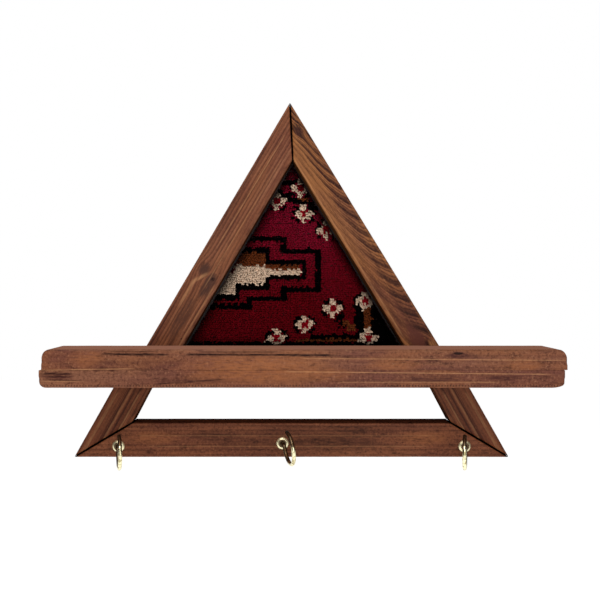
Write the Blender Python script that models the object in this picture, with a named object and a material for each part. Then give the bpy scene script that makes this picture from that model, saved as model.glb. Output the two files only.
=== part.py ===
"""A triangular wall rack: six pine rails, a two-board shelf, a rug panel and three cup hooks.

Metres, +Z up, +X to the viewer's right. The wall is the plane Y = 0 and the rack stands out from it
towards -Y. The origin is the point of the sawtooth hanger that rests on the wall's nail.
"""

import math

import bmesh
import bpy
from mathutils import Matrix, Vector

# Between any two pieces that touch.
GAP = 0.0003

# The frame. Heights run down from the apex; feet and shifts are measured from the centre line.
FRAME_THICKNESS = 0.022
EASED_EDGE = 0.0012
HANGER_BELOW_APEX = 0.0432
UPPER_HEIGHT = 0.2315
APEX_SHIFT = -0.0015
UPPER_LEFT_FOOT = 0.1390
UPPER_RIGHT_FOOT = 0.1415
# The upper rails are widest at their feet and taper by a small angle towards the apex.
UPPER_LEFT_WIDTH = 0.0320
UPPER_LEFT_TAPER = math.radians(0.5)
UPPER_RIGHT_WIDTH = 0.0304
UPPER_RIGHT_TAPER = math.radians(1.1)
CROSS_RAIL_WIDTH = 0.0303
LOWER_HEIGHT = 0.0726
LOWER_RAIL_WIDTH = 0.0323
LOWER_RAIL_LEAN = math.radians(28.8)
BOTTOM_HALF_LENGTH = 0.2048
BOTTOM_RAIL_WIDTH = 0.0324

# The shelf: two boards glued one on the other, the lower one a little to the left.
SHELF_LENGTH = 0.462
SHELF_DEPTH = 0.040
SHELF_UPPER_HEIGHT = 0.018
SHELF_LOWER_HEIGHT = 0.016
SHELF_SHIFT = 0.0105
SHELF_STEP = 0.0022
SHELF_ABOVE_CROSS_RAIL = 0.0025
SHELF_EASED_EDGE = 0.0015
# Each corner's size along the shelf and down it.
SHELF_TOP_LEFT_CORNER = (0.007, 0.008)
SHELF_TOP_RIGHT_CORNER = (0.0075, 0.009)
SHELF_BOTTOM_LEFT_CORNER = (0.006, 0.006)
SHELF_BOTTOM_RIGHT_CORNER = (0.012, 0.004)
CORNER_STEPS = 7

# The rug and the board behind it.
BACKING_THICKNESS = 0.003
BACKING_LAP = 0.009
BACKING_BELOW_HANGER = 0.006
RUG_THICKNESS = 0.0055
RUG_CLEARANCE = 0.0003
RUG_EASED_EDGE = 0.0012

# Cup hooks. A hook's parts are (radius, distance from the wood) seen along its screw.
HOOK_SPREAD = 0.1626
SIDE_HOOK_ABOVE_BASE = 0.0108
CENTRE_HOOK_ABOVE_BASE = 0.0136
CENTRE_HOOK_SHIFT = -0.0085
SIDE_HOOK_BEND = math.radians(18)
CENTRE_HOOK_BEND = math.radians(16.5)
CENTRE_HOOK_TURN = math.radians(7)
HOOK_WIRE_RADIUS = 0.0018
HOOK_RING_RADIUS = 0.0143
HOOK_RING_CENTRE = 0.0234
HOOK_NECK_RADIUS = 0.003
HOOK_SCREW_LENGTH = 0.014
HOOK_BEND_START = 0.0035
HOOK_TIP_TAPER = 0.002
CUP_RADIUS = 0.0059
CUP_HEIGHT = 0.0026
CUP_WALL = 0.0006

# Fasteners.
SHELF_SCREW_LENGTH = 0.045
SHELF_SCREW_RADIUS = 0.002
SHELF_SCREW_HEAD_RADIUS = 0.004
SHELF_SCREW_HEAD_HEIGHT = 0.0028
UPPER_SCREW_SPREAD = 0.100
LOWER_SCREW_SPREAD = 0.045
LOWER_SCREW_INSET = 0.007
CORRUGATED_DEPTH = 0.010
CORRUGATED_SHEET = 0.0007
CORRUGATED_WAVE = 0.0011
CORRUGATED_PITCH = 0.005
CORNER_FASTENER_LENGTH = 0.018
APEX_FASTENER_LENGTH = 0.012
APEX_FASTENER_BELOW_APEX = 0.024
NAIL_RADIUS = 0.0007
NAIL_HEAD_RADIUS = 0.0015
NAIL_HEAD_HEIGHT = 0.0006
NAIL_LENGTH = 0.012
HANGER_LENGTH = 0.034
HANGER_HEIGHT = 0.009
HANGER_SHEET = 0.0008
HANGER_RISE = 0.0018
HANGER_FLAT = 0.007
HANGER_TOOTH = 0.003
HANGER_TOOTH_DEPTH = 0.0012
HANGER_TEETH = 6

# Planes that follow from these sizes.
APEX_Z = HANGER_BELOW_APEX
CROSS_TOP_Z = APEX_Z - UPPER_HEIGHT
CROSS_BOTTOM_Z = CROSS_TOP_Z - CROSS_RAIL_WIDTH
BASE_Z = CROSS_BOTTOM_Z - LOWER_HEIGHT
FRAME_BACK_Y = -BACKING_THICKNESS - GAP
FRAME_FRONT_Y = FRAME_BACK_Y - FRAME_THICKNESS
SHELF_BACK_Y = FRAME_FRONT_Y - GAP
SHELF_TOP_Z = CROSS_TOP_Z + SHELF_ABOVE_CROSS_RAIL
SHELF_SEAM_Z = SHELF_TOP_Z - SHELF_UPPER_HEIGHT

LEFT, RIGHT = -1, 1


# ---------------------------------------------------------------- lines seen from the front, as (x, z)
class Line:
    """A straight edge through a point, with the piece on its left as it runs."""

    def __init__(self, start, end):
        self.start = Vector(start)
        self.along = (Vector(end) - self.start).normalized()

    def moved_in(self, distance):
        """The same edge, moved into the piece."""
        inward = Vector((-self.along.y, self.along.x))
        start = self.start + inward * distance
        return Line(start, start + self.along)

    def meet(self, other):
        """The point where two edges cross."""
        across = self.along.x * other.along.y - self.along.y * other.along.x
        between = other.start - self.start
        reach = (between.x * other.along.y - between.y * other.along.x) / across
        return self.start + self.along * reach


def outline(*edges):
    """The corners of a piece whose edges are given in order, counter-clockwise."""
    return [edge.meet(edges[index - 1]) for index, edge in enumerate(edges)]


def level(z, heading):
    """A level edge at height z that runs to the right (1) or to the left (-1)."""
    return Line((0, z), (heading, z))


def arc(centre, radii, start_degrees):
    """A quarter of an ellipse, counter-clockwise from start_degrees."""
    points = []
    for step in range(CORNER_STEPS + 1):
        angle = math.radians(start_degrees + 90 * step / CORNER_STEPS)
        reach = Vector((radii[0] * math.cos(angle), radii[1] * math.sin(angle)))
        points.append(Vector(centre) + reach)
    return points


# ---------------------------------------------------------------- building blocks
def clear_scene():
    for obj in list(bpy.data.objects):
        bpy.data.objects.remove(obj, do_unlink=True)


def material(name, colour, roughness, metallic=0.0):
    made = bpy.data.materials.new(name)
    made.use_nodes = True
    shader = made.node_tree.nodes["Principled BSDF"]
    shader.inputs["Base Color"].default_value = (*colour, 1)
    shader.inputs["Roughness"].default_value = roughness
    shader.inputs["Metallic"].default_value = metallic
    return made


def add(name, data, look=None, location=(0, 0, 0)):
    obj = bpy.data.objects.new(name, data)
    bpy.context.scene.collection.objects.link(obj)
    obj.location = location
    if look:
        data.materials.append(look)
    return obj


def prism_mesh(name, points, depth):
    """A flat outline in the XZ plane, drawn out from Y = 0 by depth towards +Y."""
    bm = bmesh.new()
    front = bm.faces.new([bm.verts.new((x, 0, z)) for x, z in points])
    back = bmesh.ops.extrude_face_region(bm, geom=[front])["geom"]
    moved = [item for item in back if isinstance(item, bmesh.types.BMVert)]
    bmesh.ops.translate(bm, verts=moved, vec=(0, depth, 0))
    bmesh.ops.recalc_face_normals(bm, faces=bm.faces)
    mesh = bpy.data.meshes.new(name)
    bm.to_mesh(mesh)
    bm.free()
    return mesh


def ease_edges(obj, width, kept_sharp=None):
    """Rounds the piece's sharp edges, all but those whose middle kept_sharp names."""
    bevel = obj.modifiers.new("eased edges", "BEVEL")
    bevel.width = width
    bevel.segments = 2
    bevel.harden_normals = False
    if kept_sharp is None:
        bevel.limit_method = "ANGLE"
        bevel.angle_limit = math.radians(30)
        return
    bevel.limit_method = "WEIGHT"
    mesh = obj.data
    bm = bmesh.new()
    bm.from_mesh(mesh)
    weight = bm.edges.layers.float.new("bevel_weight_edge")
    for edge in bm.edges:
        middle = (edge.verts[0].co + edge.verts[1].co) / 2
        sharp = edge.calc_face_angle(0) > math.radians(30)
        edge[weight] = 1.0 if sharp and not kept_sharp(middle) else 0.0
    bm.to_mesh(mesh)
    bm.free()


def board(name, points, front_y, thickness, look, eased=EASED_EDGE, kept_sharp=None):
    """A flat board seen from the front as these corners. Its origin is its lowest left corner."""
    left = min(point.x for point in points)
    base = min(point.y for point in points)
    mesh = prism_mesh(name, [(point.x - left, point.y - base) for point in points], thickness)
    obj = add(name, mesh, look, (left, front_y, base))
    ease_edges(obj, eased, kept_sharp)
    return obj


def turned_mesh(name, profile, segments):
    """A profile of (radius, distance along +Y) turned about the Y axis. Points on the axis close it."""
    bm = bmesh.new()
    rings = []
    for radius, along in profile:
        if radius == 0:
            rings.append([bm.verts.new((0, along, 0))])
            continue
        ring = []
        for step in range(segments):
            angle = math.tau * step / segments
            ring.append(bm.verts.new((radius * math.cos(angle), along, radius * math.sin(angle))))
        rings.append(ring)
    closed = profile[0][0] != 0
    for index in range(0 if closed else 1, len(rings)):
        join_rings(bm, rings[index - 1], rings[index], segments)
    bmesh.ops.recalc_face_normals(bm, faces=bm.faces)
    mesh = bpy.data.meshes.new(name)
    bm.to_mesh(mesh)
    bm.free()
    mesh.shade_smooth()
    mesh.set_sharp_from_angle(angle=math.radians(35))
    return mesh


def join_rings(bm, first, second, segments):
    for step in range(segments):
        onward = (step + 1) % segments
        corners = [first[step % len(first)], first[onward % len(first)]]
        corners += [second[onward % len(second)], second[step % len(second)]]
        bm.faces.new(list(dict.fromkeys(corners)))


def cut(obj, cutter):
    """Takes the cutter's shape out of a piece."""
    boolean = obj.modifiers.new(cutter.name, "BOOLEAN")
    boolean.operation = "DIFFERENCE"
    boolean.object = cutter
    boolean.solver = "EXACT"


def cutter(name, mesh, location, turn=0.0):
    obj = add(name, mesh, None, location)
    obj.rotation_euler.y = turn
    obj.hide_render = True
    obj.display_type = "WIRE"
    return obj


# ---------------------------------------------------------------- the wooden frame
def frame_edges():
    """Every edge of the frame's front view, named, with its piece on the left of it."""
    apex = Vector((APEX_SHIFT, APEX_Z))
    edges = {}
    left_foot = Vector((-UPPER_LEFT_FOOT, CROSS_TOP_Z))
    edges["upper_left"] = Line(left_foot, left_foot * 2 - apex)
    edges["upper_right"] = Line((UPPER_RIGHT_FOOT, CROSS_TOP_Z), apex)
    drop = LOWER_HEIGHT * math.tan(LOWER_RAIL_LEAN)
    shoulder = BOTTOM_HALF_LENGTH - drop
    edges["lower_left"] = Line((-shoulder, CROSS_BOTTOM_Z), (-BOTTOM_HALF_LENGTH, BASE_Z))
    edges["lower_right"] = Line((BOTTOM_HALF_LENGTH, BASE_Z), (shoulder, CROSS_BOTTOM_Z))
    edges["base"] = level(BASE_Z, 1)
    return edges


def inner_edge(edge, width, turn=0.0):
    """The far edge of a rail, run the other way so that the rail is on its left.

    The rail has this width at the start of its outer edge, and turn is the angle between its edges.
    """
    far = edge.moved_in(width)
    along = Matrix.Rotation(turn, 2) @ far.along
    return Line(far.start, far.start - along)


def make_rails(wood):
    edge = frame_edges()
    inner = {
        "upper_left": inner_edge(edge["upper_left"], UPPER_LEFT_WIDTH, UPPER_LEFT_TAPER),
        "upper_right": inner_edge(edge["upper_right"], UPPER_RIGHT_WIDTH, -UPPER_RIGHT_TAPER),
        "lower_left": inner_edge(edge["lower_left"], LOWER_RAIL_WIDTH),
        "lower_right": inner_edge(edge["lower_right"], LOWER_RAIL_WIDTH),
        "base": inner_edge(edge["base"], BOTTOM_RAIL_WIDTH),
    }
    apex = edge["upper_left"].meet(edge["upper_right"])
    apex_mitre = Line(apex, inner["upper_left"].meet(inner["upper_right"]))
    left_corner = edge["lower_left"].meet(edge["base"])
    left_mitre = Line(left_corner, inner["lower_left"].meet(inner["base"]))
    right_corner = edge["lower_right"].meet(edge["base"])
    right_mitre = Line(right_corner, inner["lower_right"].meet(inner["base"]))

    def back(line):
        return Line(line.start, line.start - line.along)

    foot = level(CROSS_TOP_Z + GAP, 1)
    head = level(CROSS_BOTTOM_Z - GAP, -1)
    half = GAP / 2
    outlines = {
        "upper_left_rail": outline(
            edge["upper_left"], foot, inner["upper_left"], back(apex_mitre).moved_in(half)
        ),
        "upper_right_rail": outline(
            edge["upper_right"], apex_mitre.moved_in(half), inner["upper_right"], foot
        ),
        "cross_rail": outline(
            level(CROSS_BOTTOM_Z, 1), edge["lower_right"], level(CROSS_TOP_Z, -1), edge["lower_left"]
        ),
        "lower_left_rail": outline(
            edge["lower_left"], left_mitre.moved_in(half), inner["lower_left"], head
        ),
        "lower_right_rail": outline(
            edge["lower_right"], head, inner["lower_right"], back(right_mitre).moved_in(half)
        ),
        "bottom_rail": outline(
            edge["base"], right_mitre.moved_in(half), inner["base"], back(left_mitre).moved_in(half)
        ),
    }
    rails = {}
    for name, points in outlines.items():
        rails[name] = board(name, points, FRAME_FRONT_Y, FRAME_THICKNESS, wood(name))
    return rails, edge, inner, {"apex": apex_mitre, "left": left_mitre, "right": right_mitre}


# ---------------------------------------------------------------- the shelf
def make_shelf(wood):
    left = SHELF_SHIFT - SHELF_LENGTH / 2
    right = left + SHELF_LENGTH
    seam = SHELF_SEAM_Z + GAP / 2
    top_left, top_right = SHELF_TOP_LEFT_CORNER, SHELF_TOP_RIGHT_CORNER
    upper = [Vector((left, seam)), Vector((right, seam))]
    upper += arc((right - top_right[0], SHELF_TOP_Z - top_right[1]), top_right, 0)
    upper += arc((left + top_left[0], SHELF_TOP_Z - top_left[1]), top_left, 90)

    left -= SHELF_STEP
    right -= SHELF_STEP
    seam = SHELF_SEAM_Z - GAP / 2
    underside = SHELF_SEAM_Z - SHELF_LOWER_HEIGHT
    low_left, low_right = SHELF_BOTTOM_LEFT_CORNER, SHELF_BOTTOM_RIGHT_CORNER
    lower = [Vector((right, seam)), Vector((left, seam))]
    lower += arc((left + low_left[0], underside + low_left[1]), low_left, 180)
    lower += arc((right - low_right[0], underside + low_right[1]), low_right, 270)

    boards = {}
    for name, points, seam_height in (
        ("shelf_upper_board", upper, 0.0),
        ("shelf_lower_board", lower, SHELF_LOWER_HEIGHT - GAP / 2),
    ):
        boards[name] = board(
            name,
            points,
            SHELF_BACK_Y - SHELF_DEPTH,
            SHELF_DEPTH,
            wood(name),
            SHELF_EASED_EDGE,
            lambda middle, seam_height=seam_height: abs(middle.z - seam_height) < GAP,
        )
    return boards


# ---------------------------------------------------------------- rug and backing
def make_rug_and_backing(inner, looks):
    """The rug fills the upper opening, and the backing board laps the rails all round it."""
    floor = level(CROSS_TOP_Z, 1)
    sides = {}
    for side in ("upper_left", "upper_right"):
        line = inner[side]
        sides[side] = Line(line.start, line.start - line.along)
    clear = RUG_CLEARANCE
    rug_points = outline(
        sides["upper_left"].moved_in(clear), floor.moved_in(clear), sides["upper_right"].moved_in(clear)
    )
    rug = board(
        "rug_panel",
        rug_points,
        FRAME_BACK_Y - RUG_THICKNESS,
        RUG_THICKNESS,
        looks["rug"],
        RUG_EASED_EDGE,
    )
    backing_points = outline(
        sides["upper_left"].moved_in(-BACKING_LAP),
        floor.moved_in(-BACKING_LAP),
        sides["upper_right"].moved_in(-BACKING_LAP),
        level(-BACKING_BELOW_HANGER, -1),
    )
    backing = board(
        "backing_board", backing_points, -BACKING_THICKNESS, BACKING_THICKNESS, looks["backing"], GAP
    )
    return rug, backing


# ---------------------------------------------------------------- fasteners
def nail_profile(length, radius, head_radius, head_height, grow=0.0):
    """A round nail from its head's back face at Y = 0 to its point at Y = -length, grown all round."""
    point = radius * 2
    return [
        (0, grow),
        (head_radius + grow, grow),
        (head_radius + grow, -head_height - grow),
        (radius + grow, -head_height - grow),
        (radius + grow, point - length - grow),
        (0, -length - grow),
    ]


def countersunk_profile(grow=0.0):
    """A countersunk wood screw, from its head's flat face at Y = 0 to its point."""
    radius, head = SHELF_SCREW_RADIUS, SHELF_SCREW_HEAD_RADIUS
    point = radius * 3
    return [
        (0, grow * 2),
        (head + grow, grow * 2),
        (head + grow, -GAP),
        (radius + grow, -SHELF_SCREW_HEAD_HEIGHT),
        (radius + grow, point - SHELF_SCREW_LENGTH),
        (0, -SHELF_SCREW_LENGTH - grow * 2),
    ]


def drive(name, profile, hole_profile, segments, place, look, pieces):
    """Sets a turned fastener in place, head towards the wall, with its hole in each piece it enters."""
    fastener = add(name, turned_mesh(name, profile, segments), look, place)
    hole = cutter(name + "_hole", turned_mesh(name + "_hole", hole_profile, segments), place)
    for piece in pieces:
        cut(piece, hole)
    return fastener


def corrugated_points(length, grow=0.0):
    """The front view of a corrugated strip, level and centred: a wavy band, grown all round."""
    steps = 6 * round(length / CORRUGATED_PITCH)
    half = CORRUGATED_SHEET / 2 + grow
    upper, lower = [], []
    for step in range(steps + 1):
        x = length * (step / steps - 0.5)
        phase = math.tau * x / CORRUGATED_PITCH
        along = Vector((1, CORRUGATED_WAVE * math.tau / CORRUGATED_PITCH * math.cos(phase))).normalized()
        middle = Vector((x, CORRUGATED_WAVE * math.sin(phase)))
        if step == 0:
            middle -= along * grow
        if step == steps:
            middle += along * grow
        across = Vector((-along.y, along.x)) * half
        lower.append(tuple(middle - across))
        upper.append(tuple(middle + across))
    return lower + upper[::-1]


def corner_fastener(name, centre, along, length, look, pieces):
    """A corrugated fastener driven in flush from the back, its length running along a direction."""
    turn = -math.atan2(along.y, along.x)
    depth = CORRUGATED_DEPTH
    place = (centre.x, FRAME_BACK_Y - GAP - depth, centre.y)
    mesh = prism_mesh(name, corrugated_points(length), depth)
    obj = add(name, mesh, look, place)
    obj.rotation_euler.y = turn
    slot_points = corrugated_points(length, GAP)
    slot_place = (centre.x, place[1] - GAP, centre.y)
    slot = cutter(name + "_slot", prism_mesh(name + "_slot", slot_points, depth + 4 * GAP), slot_place, turn)
    for piece in pieces:
        cut(piece, slot)
    return obj


def make_fasteners(rails, boards, backing, edge, inner, mitres, looks):
    cross = rails["cross_rail"]
    # Shelf screws: two into each board, countersunk in the back of the cross rail.
    upper_z = SHELF_TOP_Z - SHELF_UPPER_HEIGHT / 2
    lower_z = CROSS_BOTTOM_Z + LOWER_SCREW_INSET
    rows = (
        (upper_z, UPPER_SCREW_SPREAD, boards["shelf_upper_board"]),
        (lower_z, LOWER_SCREW_SPREAD, boards["shelf_lower_board"]),
    )
    number = 0
    for z, spread, shelf_board in rows:
        for side in (LEFT, RIGHT):
            number += 1
            place = (side * spread, FRAME_BACK_Y - GAP, z)
            drive(
                f"shelf_screw_{number}",
                countersunk_profile(),
                countersunk_profile(GAP),
                16,
                place,
                looks["screw"],
                [cross, shelf_board],
            )

    # Corrugated fasteners: one across the apex, one across each bottom corner.
    steel = looks["corrugated"]
    apex_point = mitres["apex"].start + mitres["apex"].along * APEX_FASTENER_BELOW_APEX
    across = Vector((1, 0))
    upper = [rails["upper_left_rail"], rails["upper_right_rail"]]
    corner_fastener("corner_fastener_apex", apex_point, across, APEX_FASTENER_LENGTH, steel, upper)
    for side, far in (("left", inner["lower_left"]), ("right", inner["lower_right"])):
        mitre = mitres[side]
        middle = (mitre.start + far.meet(inner["base"])) / 2
        across = Vector((-mitre.along.y, mitre.along.x))
        pieces = [rails[f"lower_{side}_rail"], rails["bottom_rail"]]
        corner_fastener(f"corner_fastener_{side}", middle, across, CORNER_FASTENER_LENGTH, steel, pieces)
    # One across each joint of a leaning rail with the cross rail, upright in the middle of the joint.
    upright = Vector((0, 1))
    for part, z in (("upper", CROSS_TOP_Z), ("lower", CROSS_BOTTOM_Z)):
        for side in ("left", "right"):
            joint = level(z, 1)
            middle = (edge[f"{part}_{side}"].meet(joint) + inner[f"{part}_{side}"].meet(joint)) / 2
            name = f"corner_fastener_{part}_{side}"
            pieces = [rails[f"{part}_{side}_rail"], cross]
            corner_fastener(name, middle, upright, CORNER_FASTENER_LENGTH, steel, pieces)

    # Backing nails: three up each leaning rail and two along the cross rail, in the middle of the lap.
    lap = BACKING_LAP / 2
    spots = []
    for side in ("left", "right"):
        line = inner[f"upper_{side}"]
        rail_edge = line.moved_in(lap)
        low = rail_edge.meet(level(CROSS_TOP_Z, 1))
        high = rail_edge.meet(level(-BACKING_BELOW_HANGER, 1))
        rail = rails[f"upper_{side}_rail"]
        spots += [(low.lerp(high, share), rail) for share in (0.14, 0.5, 0.86)]
    for side in (LEFT, RIGHT):
        spots.append((Vector((side * LOWER_SCREW_SPREAD, CROSS_TOP_Z - lap)), cross))
    sizes = (NAIL_LENGTH, NAIL_RADIUS, NAIL_HEAD_RADIUS, NAIL_HEAD_HEIGHT)
    for number, (spot, piece) in enumerate(spots, start=1):
        drive(
            f"backing_nail_{number}",
            nail_profile(*sizes),
            nail_profile(*sizes, GAP),
            10,
            (spot.x, -GAP, spot.y),
            looks["nail"],
            [backing, piece],
        )


def make_hanger(rails, looks):
    """A sawtooth hanger: a strip with flat ends and a raised middle whose lower edge is toothed."""
    half = HANGER_LENGTH / 2
    inside = half - HANGER_FLAT
    top = inside - HANGER_RISE
    under = [(-half, 0), (-inside, 0), (-top, HANGER_RISE), (top, HANGER_RISE), (inside, 0), (half, 0)]
    over = [(x, y + HANGER_SHEET) for x, y in reversed(under)]
    bm = bmesh.new()
    end = bm.faces.new([bm.verts.new((x, y, -HANGER_TOOTH_DEPTH)) for x, y in under + over])
    drawn = bmesh.ops.extrude_face_region(bm, geom=[end])["geom"]
    moved = [item for item in drawn if isinstance(item, bmesh.types.BMVert)]
    bmesh.ops.translate(bm, verts=moved, vec=(0, 0, HANGER_HEIGHT))
    bmesh.ops.recalc_face_normals(bm, faces=bm.faces)
    mesh = bpy.data.meshes.new("hanger")
    bm.to_mesh(mesh)
    bm.free()
    back = FRAME_BACK_Y + GAP
    hanger = add("hanger", mesh, looks["hanger"], (0, back, 0))

    # The space between the teeth: a zigzag with a root on the centre line, where the nail rests.
    reach = HANGER_TOOTH_DEPTH + GAP
    zigzag = []
    for step in range(2 * HANGER_TEETH - 1):
        x = (step - HANGER_TEETH + 1) * HANGER_TOOTH / 2
        is_root = (step - HANGER_TEETH + 1) % 2 == 0
        zigzag.append((x, 0 if is_root else -reach))
    width = zigzag[-1][0]
    zigzag += [(width, -3 * reach), (-width, -3 * reach)]
    notch_mesh = prism_mesh("hanger_notches", zigzag[::-1], HANGER_RISE + 3 * HANGER_SHEET)
    cut(hanger, cutter("hanger_notches", notch_mesh, (0, back - HANGER_SHEET, 0)))

    z = HANGER_HEIGHT / 2 - HANGER_TOOTH_DEPTH
    sizes = (NAIL_LENGTH, NAIL_RADIUS, NAIL_HEAD_RADIUS, NAIL_HEAD_HEIGHT)
    head_y = back + HANGER_SHEET + GAP + NAIL_HEAD_HEIGHT
    for name, side in (("left", LEFT), ("right", RIGHT)):
        x = side * (half - HANGER_FLAT / 2)
        drive(
            f"hanger_nail_{name}",
            nail_profile(*sizes),
            nail_profile(*sizes, GAP),
            10,
            (x, head_y, z),
            looks["nail"],
            [hanger, rails[f"upper_{name}_rail"]],
        )


# ---------------------------------------------------------------- cup hooks
def hook_path(bend):
    """The wire's centre line as (x, y, z) from its hinge point on the wood, and its radii.

    It runs out of the wood along -Y, turns down through a small neck and goes three quarters of the
    way round the ring: down, out, up and back to a tip above the ring's centre. Beyond the cup the
    whole ring is bent sideways, towards +X where bend is positive.
    """
    ring, centre, neck = HOOK_RING_RADIUS, HOOK_RING_CENTRE, HOOK_NECK_RADIUS
    neck_out = centre - math.sqrt(ring * ring + 2 * ring * neck)
    swing = math.asin(neck / (ring + neck))
    out_and_up = [(-HOOK_SCREW_LENGTH, 0.0), (-HOOK_SCREW_LENGTH + 3 * HOOK_WIRE_RADIUS, 0.0)]
    out_and_up += [(0.0, 0.0), (HOOK_BEND_START, 0.0)]
    neck_steps, ring_steps = 4, 22
    for step in range(neck_steps):
        angle = math.pi / 2 - (math.pi / 2 - swing) * step / neck_steps
        out_and_up.append((neck_out + neck * math.cos(angle), neck * math.sin(angle) - neck))
    for step in range(ring_steps + 1):
        angle = math.pi + swing + (1.5 * math.pi - swing) * step / ring_steps
        out_and_up.append((centre + ring * math.cos(angle), ring * math.sin(angle)))
    out_and_up.append((centre - HOOK_TIP_TAPER, ring))
    radii = [0.15] + [1.0] * (len(out_and_up) - 2) + [0.45]
    points = []
    for out, up in out_and_up:
        beyond = max(0.0, out - HOOK_BEND_START)
        straight = min(out, HOOK_BEND_START)
        points.append((beyond * math.sin(bend), -straight - beyond * math.cos(bend), up))
    return points, radii


def make_hook(name, x, z, bend, turn, looks, rail):
    """One cup hook. Wire and cup hang from an empty on the screw's axis, at the face of the rail."""
    hinge = add(f"hook_hinge_{name}", None, None, (x, FRAME_FRONT_Y, z))
    hinge.rotation_euler.y = turn

    points, radii = hook_path(bend)
    curve = bpy.data.curves.new(f"hook_wire_{name}", "CURVE")
    curve.dimensions = "3D"
    curve.bevel_depth = HOOK_WIRE_RADIUS
    curve.bevel_resolution = 3
    curve.use_fill_caps = True
    spline = curve.splines.new("POLY")
    spline.points.add(len(points) - 1)
    for spot, point, radius in zip(spline.points, points, radii):
        spot.co = (*point, 1)
        spot.radius = radius
    spline.use_smooth = True
    wire = add(f"hook_wire_{name}", curve, looks["wire"])
    wire.parent = hinge

    hole = HOOK_WIRE_RADIUS + GAP
    rim, high, wall = CUP_RADIUS, CUP_HEIGHT, CUP_WALL
    crown = rim * 0.5
    outside = [(hole, -high * 0.8), (crown, -high), (rim * 0.8, -high * 0.88), (rim * 0.96, -high * 0.55)]
    outside += [(rim, -GAP)]
    inside = [(rim - wall, -GAP), (rim * 0.96 - wall, -high * 0.45), (rim * 0.8 - wall, wall - high * 0.88)]
    inside += [(crown, wall - high), (hole, wall - high * 0.8)]
    cup = add(f"hook_cup_{name}", turned_mesh(f"hook_cup_{name}", outside + inside, 20), looks["cup"])
    cup.parent = hinge

    bore = [(0, HOOK_SCREW_LENGTH + 2 * GAP), (hole, HOOK_SCREW_LENGTH + 2 * GAP), (hole, -GAP), (0, -GAP)]
    cut(rail, cutter(f"hook_hole_{name}", turned_mesh(f"hook_hole_{name}", bore, 16), hinge.location))


def make_hooks(rails, looks):
    side_z = BASE_Z + SIDE_HOOK_ABOVE_BASE
    centre_z = BASE_Z + CENTRE_HOOK_ABOVE_BASE
    rail = rails["bottom_rail"]
    make_hook("left", -HOOK_SPREAD, side_z, SIDE_HOOK_BEND, 0.0, looks, rail)
    make_hook("centre", CENTRE_HOOK_SHIFT, centre_z, CENTRE_HOOK_BEND, -CENTRE_HOOK_TURN, looks, rail)
    make_hook("right", HOOK_SPREAD, side_z, -SIDE_HOOK_BEND, 0.0, looks, rail)


# ---------------------------------------------------------------- the whole rack
def main():
    clear_scene()
    wood_colours = {
        "upper_left_rail": (0.209, 0.086, 0.049),
        "upper_right_rail": (0.209, 0.080, 0.040),
        "cross_rail": (0.190, 0.078, 0.042),
        "lower_left_rail": (0.150, 0.066, 0.040),
        "lower_right_rail": (0.140, 0.058, 0.034),
        "bottom_rail": (0.145, 0.048, 0.024),
        "shelf_upper_board": (0.240, 0.092, 0.050),
        "shelf_lower_board": (0.220, 0.084, 0.045),
    }

    def wood(name):
        return material(name, wood_colours[name], 0.5)

    looks = {
        "rug": material("rug", (0.060, 0.005, 0.008), 0.95),
        "backing": material("backing", (0.300, 0.190, 0.110), 0.7),
        "wire": material("brass_wire", (0.720, 0.600, 0.330), 0.25, 1.0),
        "cup": material("brass_cup", (0.780, 0.670, 0.400), 0.22, 1.0),
        "screw": material("screw", (0.560, 0.500, 0.360), 0.35, 1.0),
        "corrugated": material("corrugated", (0.420, 0.420, 0.430), 0.40, 1.0),
        "nail": material("nail", (0.450, 0.450, 0.460), 0.35, 1.0),
        "hanger": material("hanger", (0.600, 0.560, 0.440), 0.35, 1.0),
    }
    rails, edge, inner, mitres = make_rails(wood)
    boards = make_shelf(wood)
    _, backing = make_rug_and_backing(inner, looks)
    make_fasteners(rails, boards, backing, edge, inner, mitres, looks)
    make_hanger(rails, looks)
    make_hooks(rails, looks)


main()
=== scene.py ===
# %% [markdown]
# # A triangular wall rack with a rug panel, a shelf and three cup hooks
# Six stained pine rails make a triangle. A piece of knotted rug fills the upper opening, a thick
# shelf of two glued boards is screwed across the front, and three brass cup hooks turn in the
# bottom rail. This file dresses the rack's plain solids: it makes a finer mesh for each piece in
# the same place, and a procedural material for each finish. All sizes are in metres.

# %% Load the plain model and remember its box
import math
import random

import bmesh
import bpy
import numpy as np
from mathutils import Matrix, Vector, noise


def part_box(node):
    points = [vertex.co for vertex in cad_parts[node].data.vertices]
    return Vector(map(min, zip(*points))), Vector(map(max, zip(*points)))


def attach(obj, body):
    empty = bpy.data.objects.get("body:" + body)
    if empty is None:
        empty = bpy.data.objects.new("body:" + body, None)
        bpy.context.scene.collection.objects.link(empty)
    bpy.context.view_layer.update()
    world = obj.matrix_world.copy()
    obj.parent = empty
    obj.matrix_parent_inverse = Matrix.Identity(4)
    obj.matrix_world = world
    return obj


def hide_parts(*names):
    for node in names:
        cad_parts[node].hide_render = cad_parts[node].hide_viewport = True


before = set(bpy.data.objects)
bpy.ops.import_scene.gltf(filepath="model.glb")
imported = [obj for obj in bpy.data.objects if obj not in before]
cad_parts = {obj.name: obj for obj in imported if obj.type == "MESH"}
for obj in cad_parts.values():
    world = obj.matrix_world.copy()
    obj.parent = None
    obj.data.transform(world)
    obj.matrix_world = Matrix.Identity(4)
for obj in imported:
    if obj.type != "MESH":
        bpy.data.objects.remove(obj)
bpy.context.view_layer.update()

# %% [markdown]
# ## Studio
# The rack hangs well above a pale floor, with white all round it. The camera looks straight at
# the wall from arm's length, a little left of the middle, and its frame is moved instead of
# turned so that upright edges stay upright. A large soft lamp high in front lights the shelf's
# top and leaves the undersides dark, and a weaker one fills in from the right. The boards' sides
# also carry painted light and shade: the shelf's are painted pale and the rails' near black.

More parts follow.
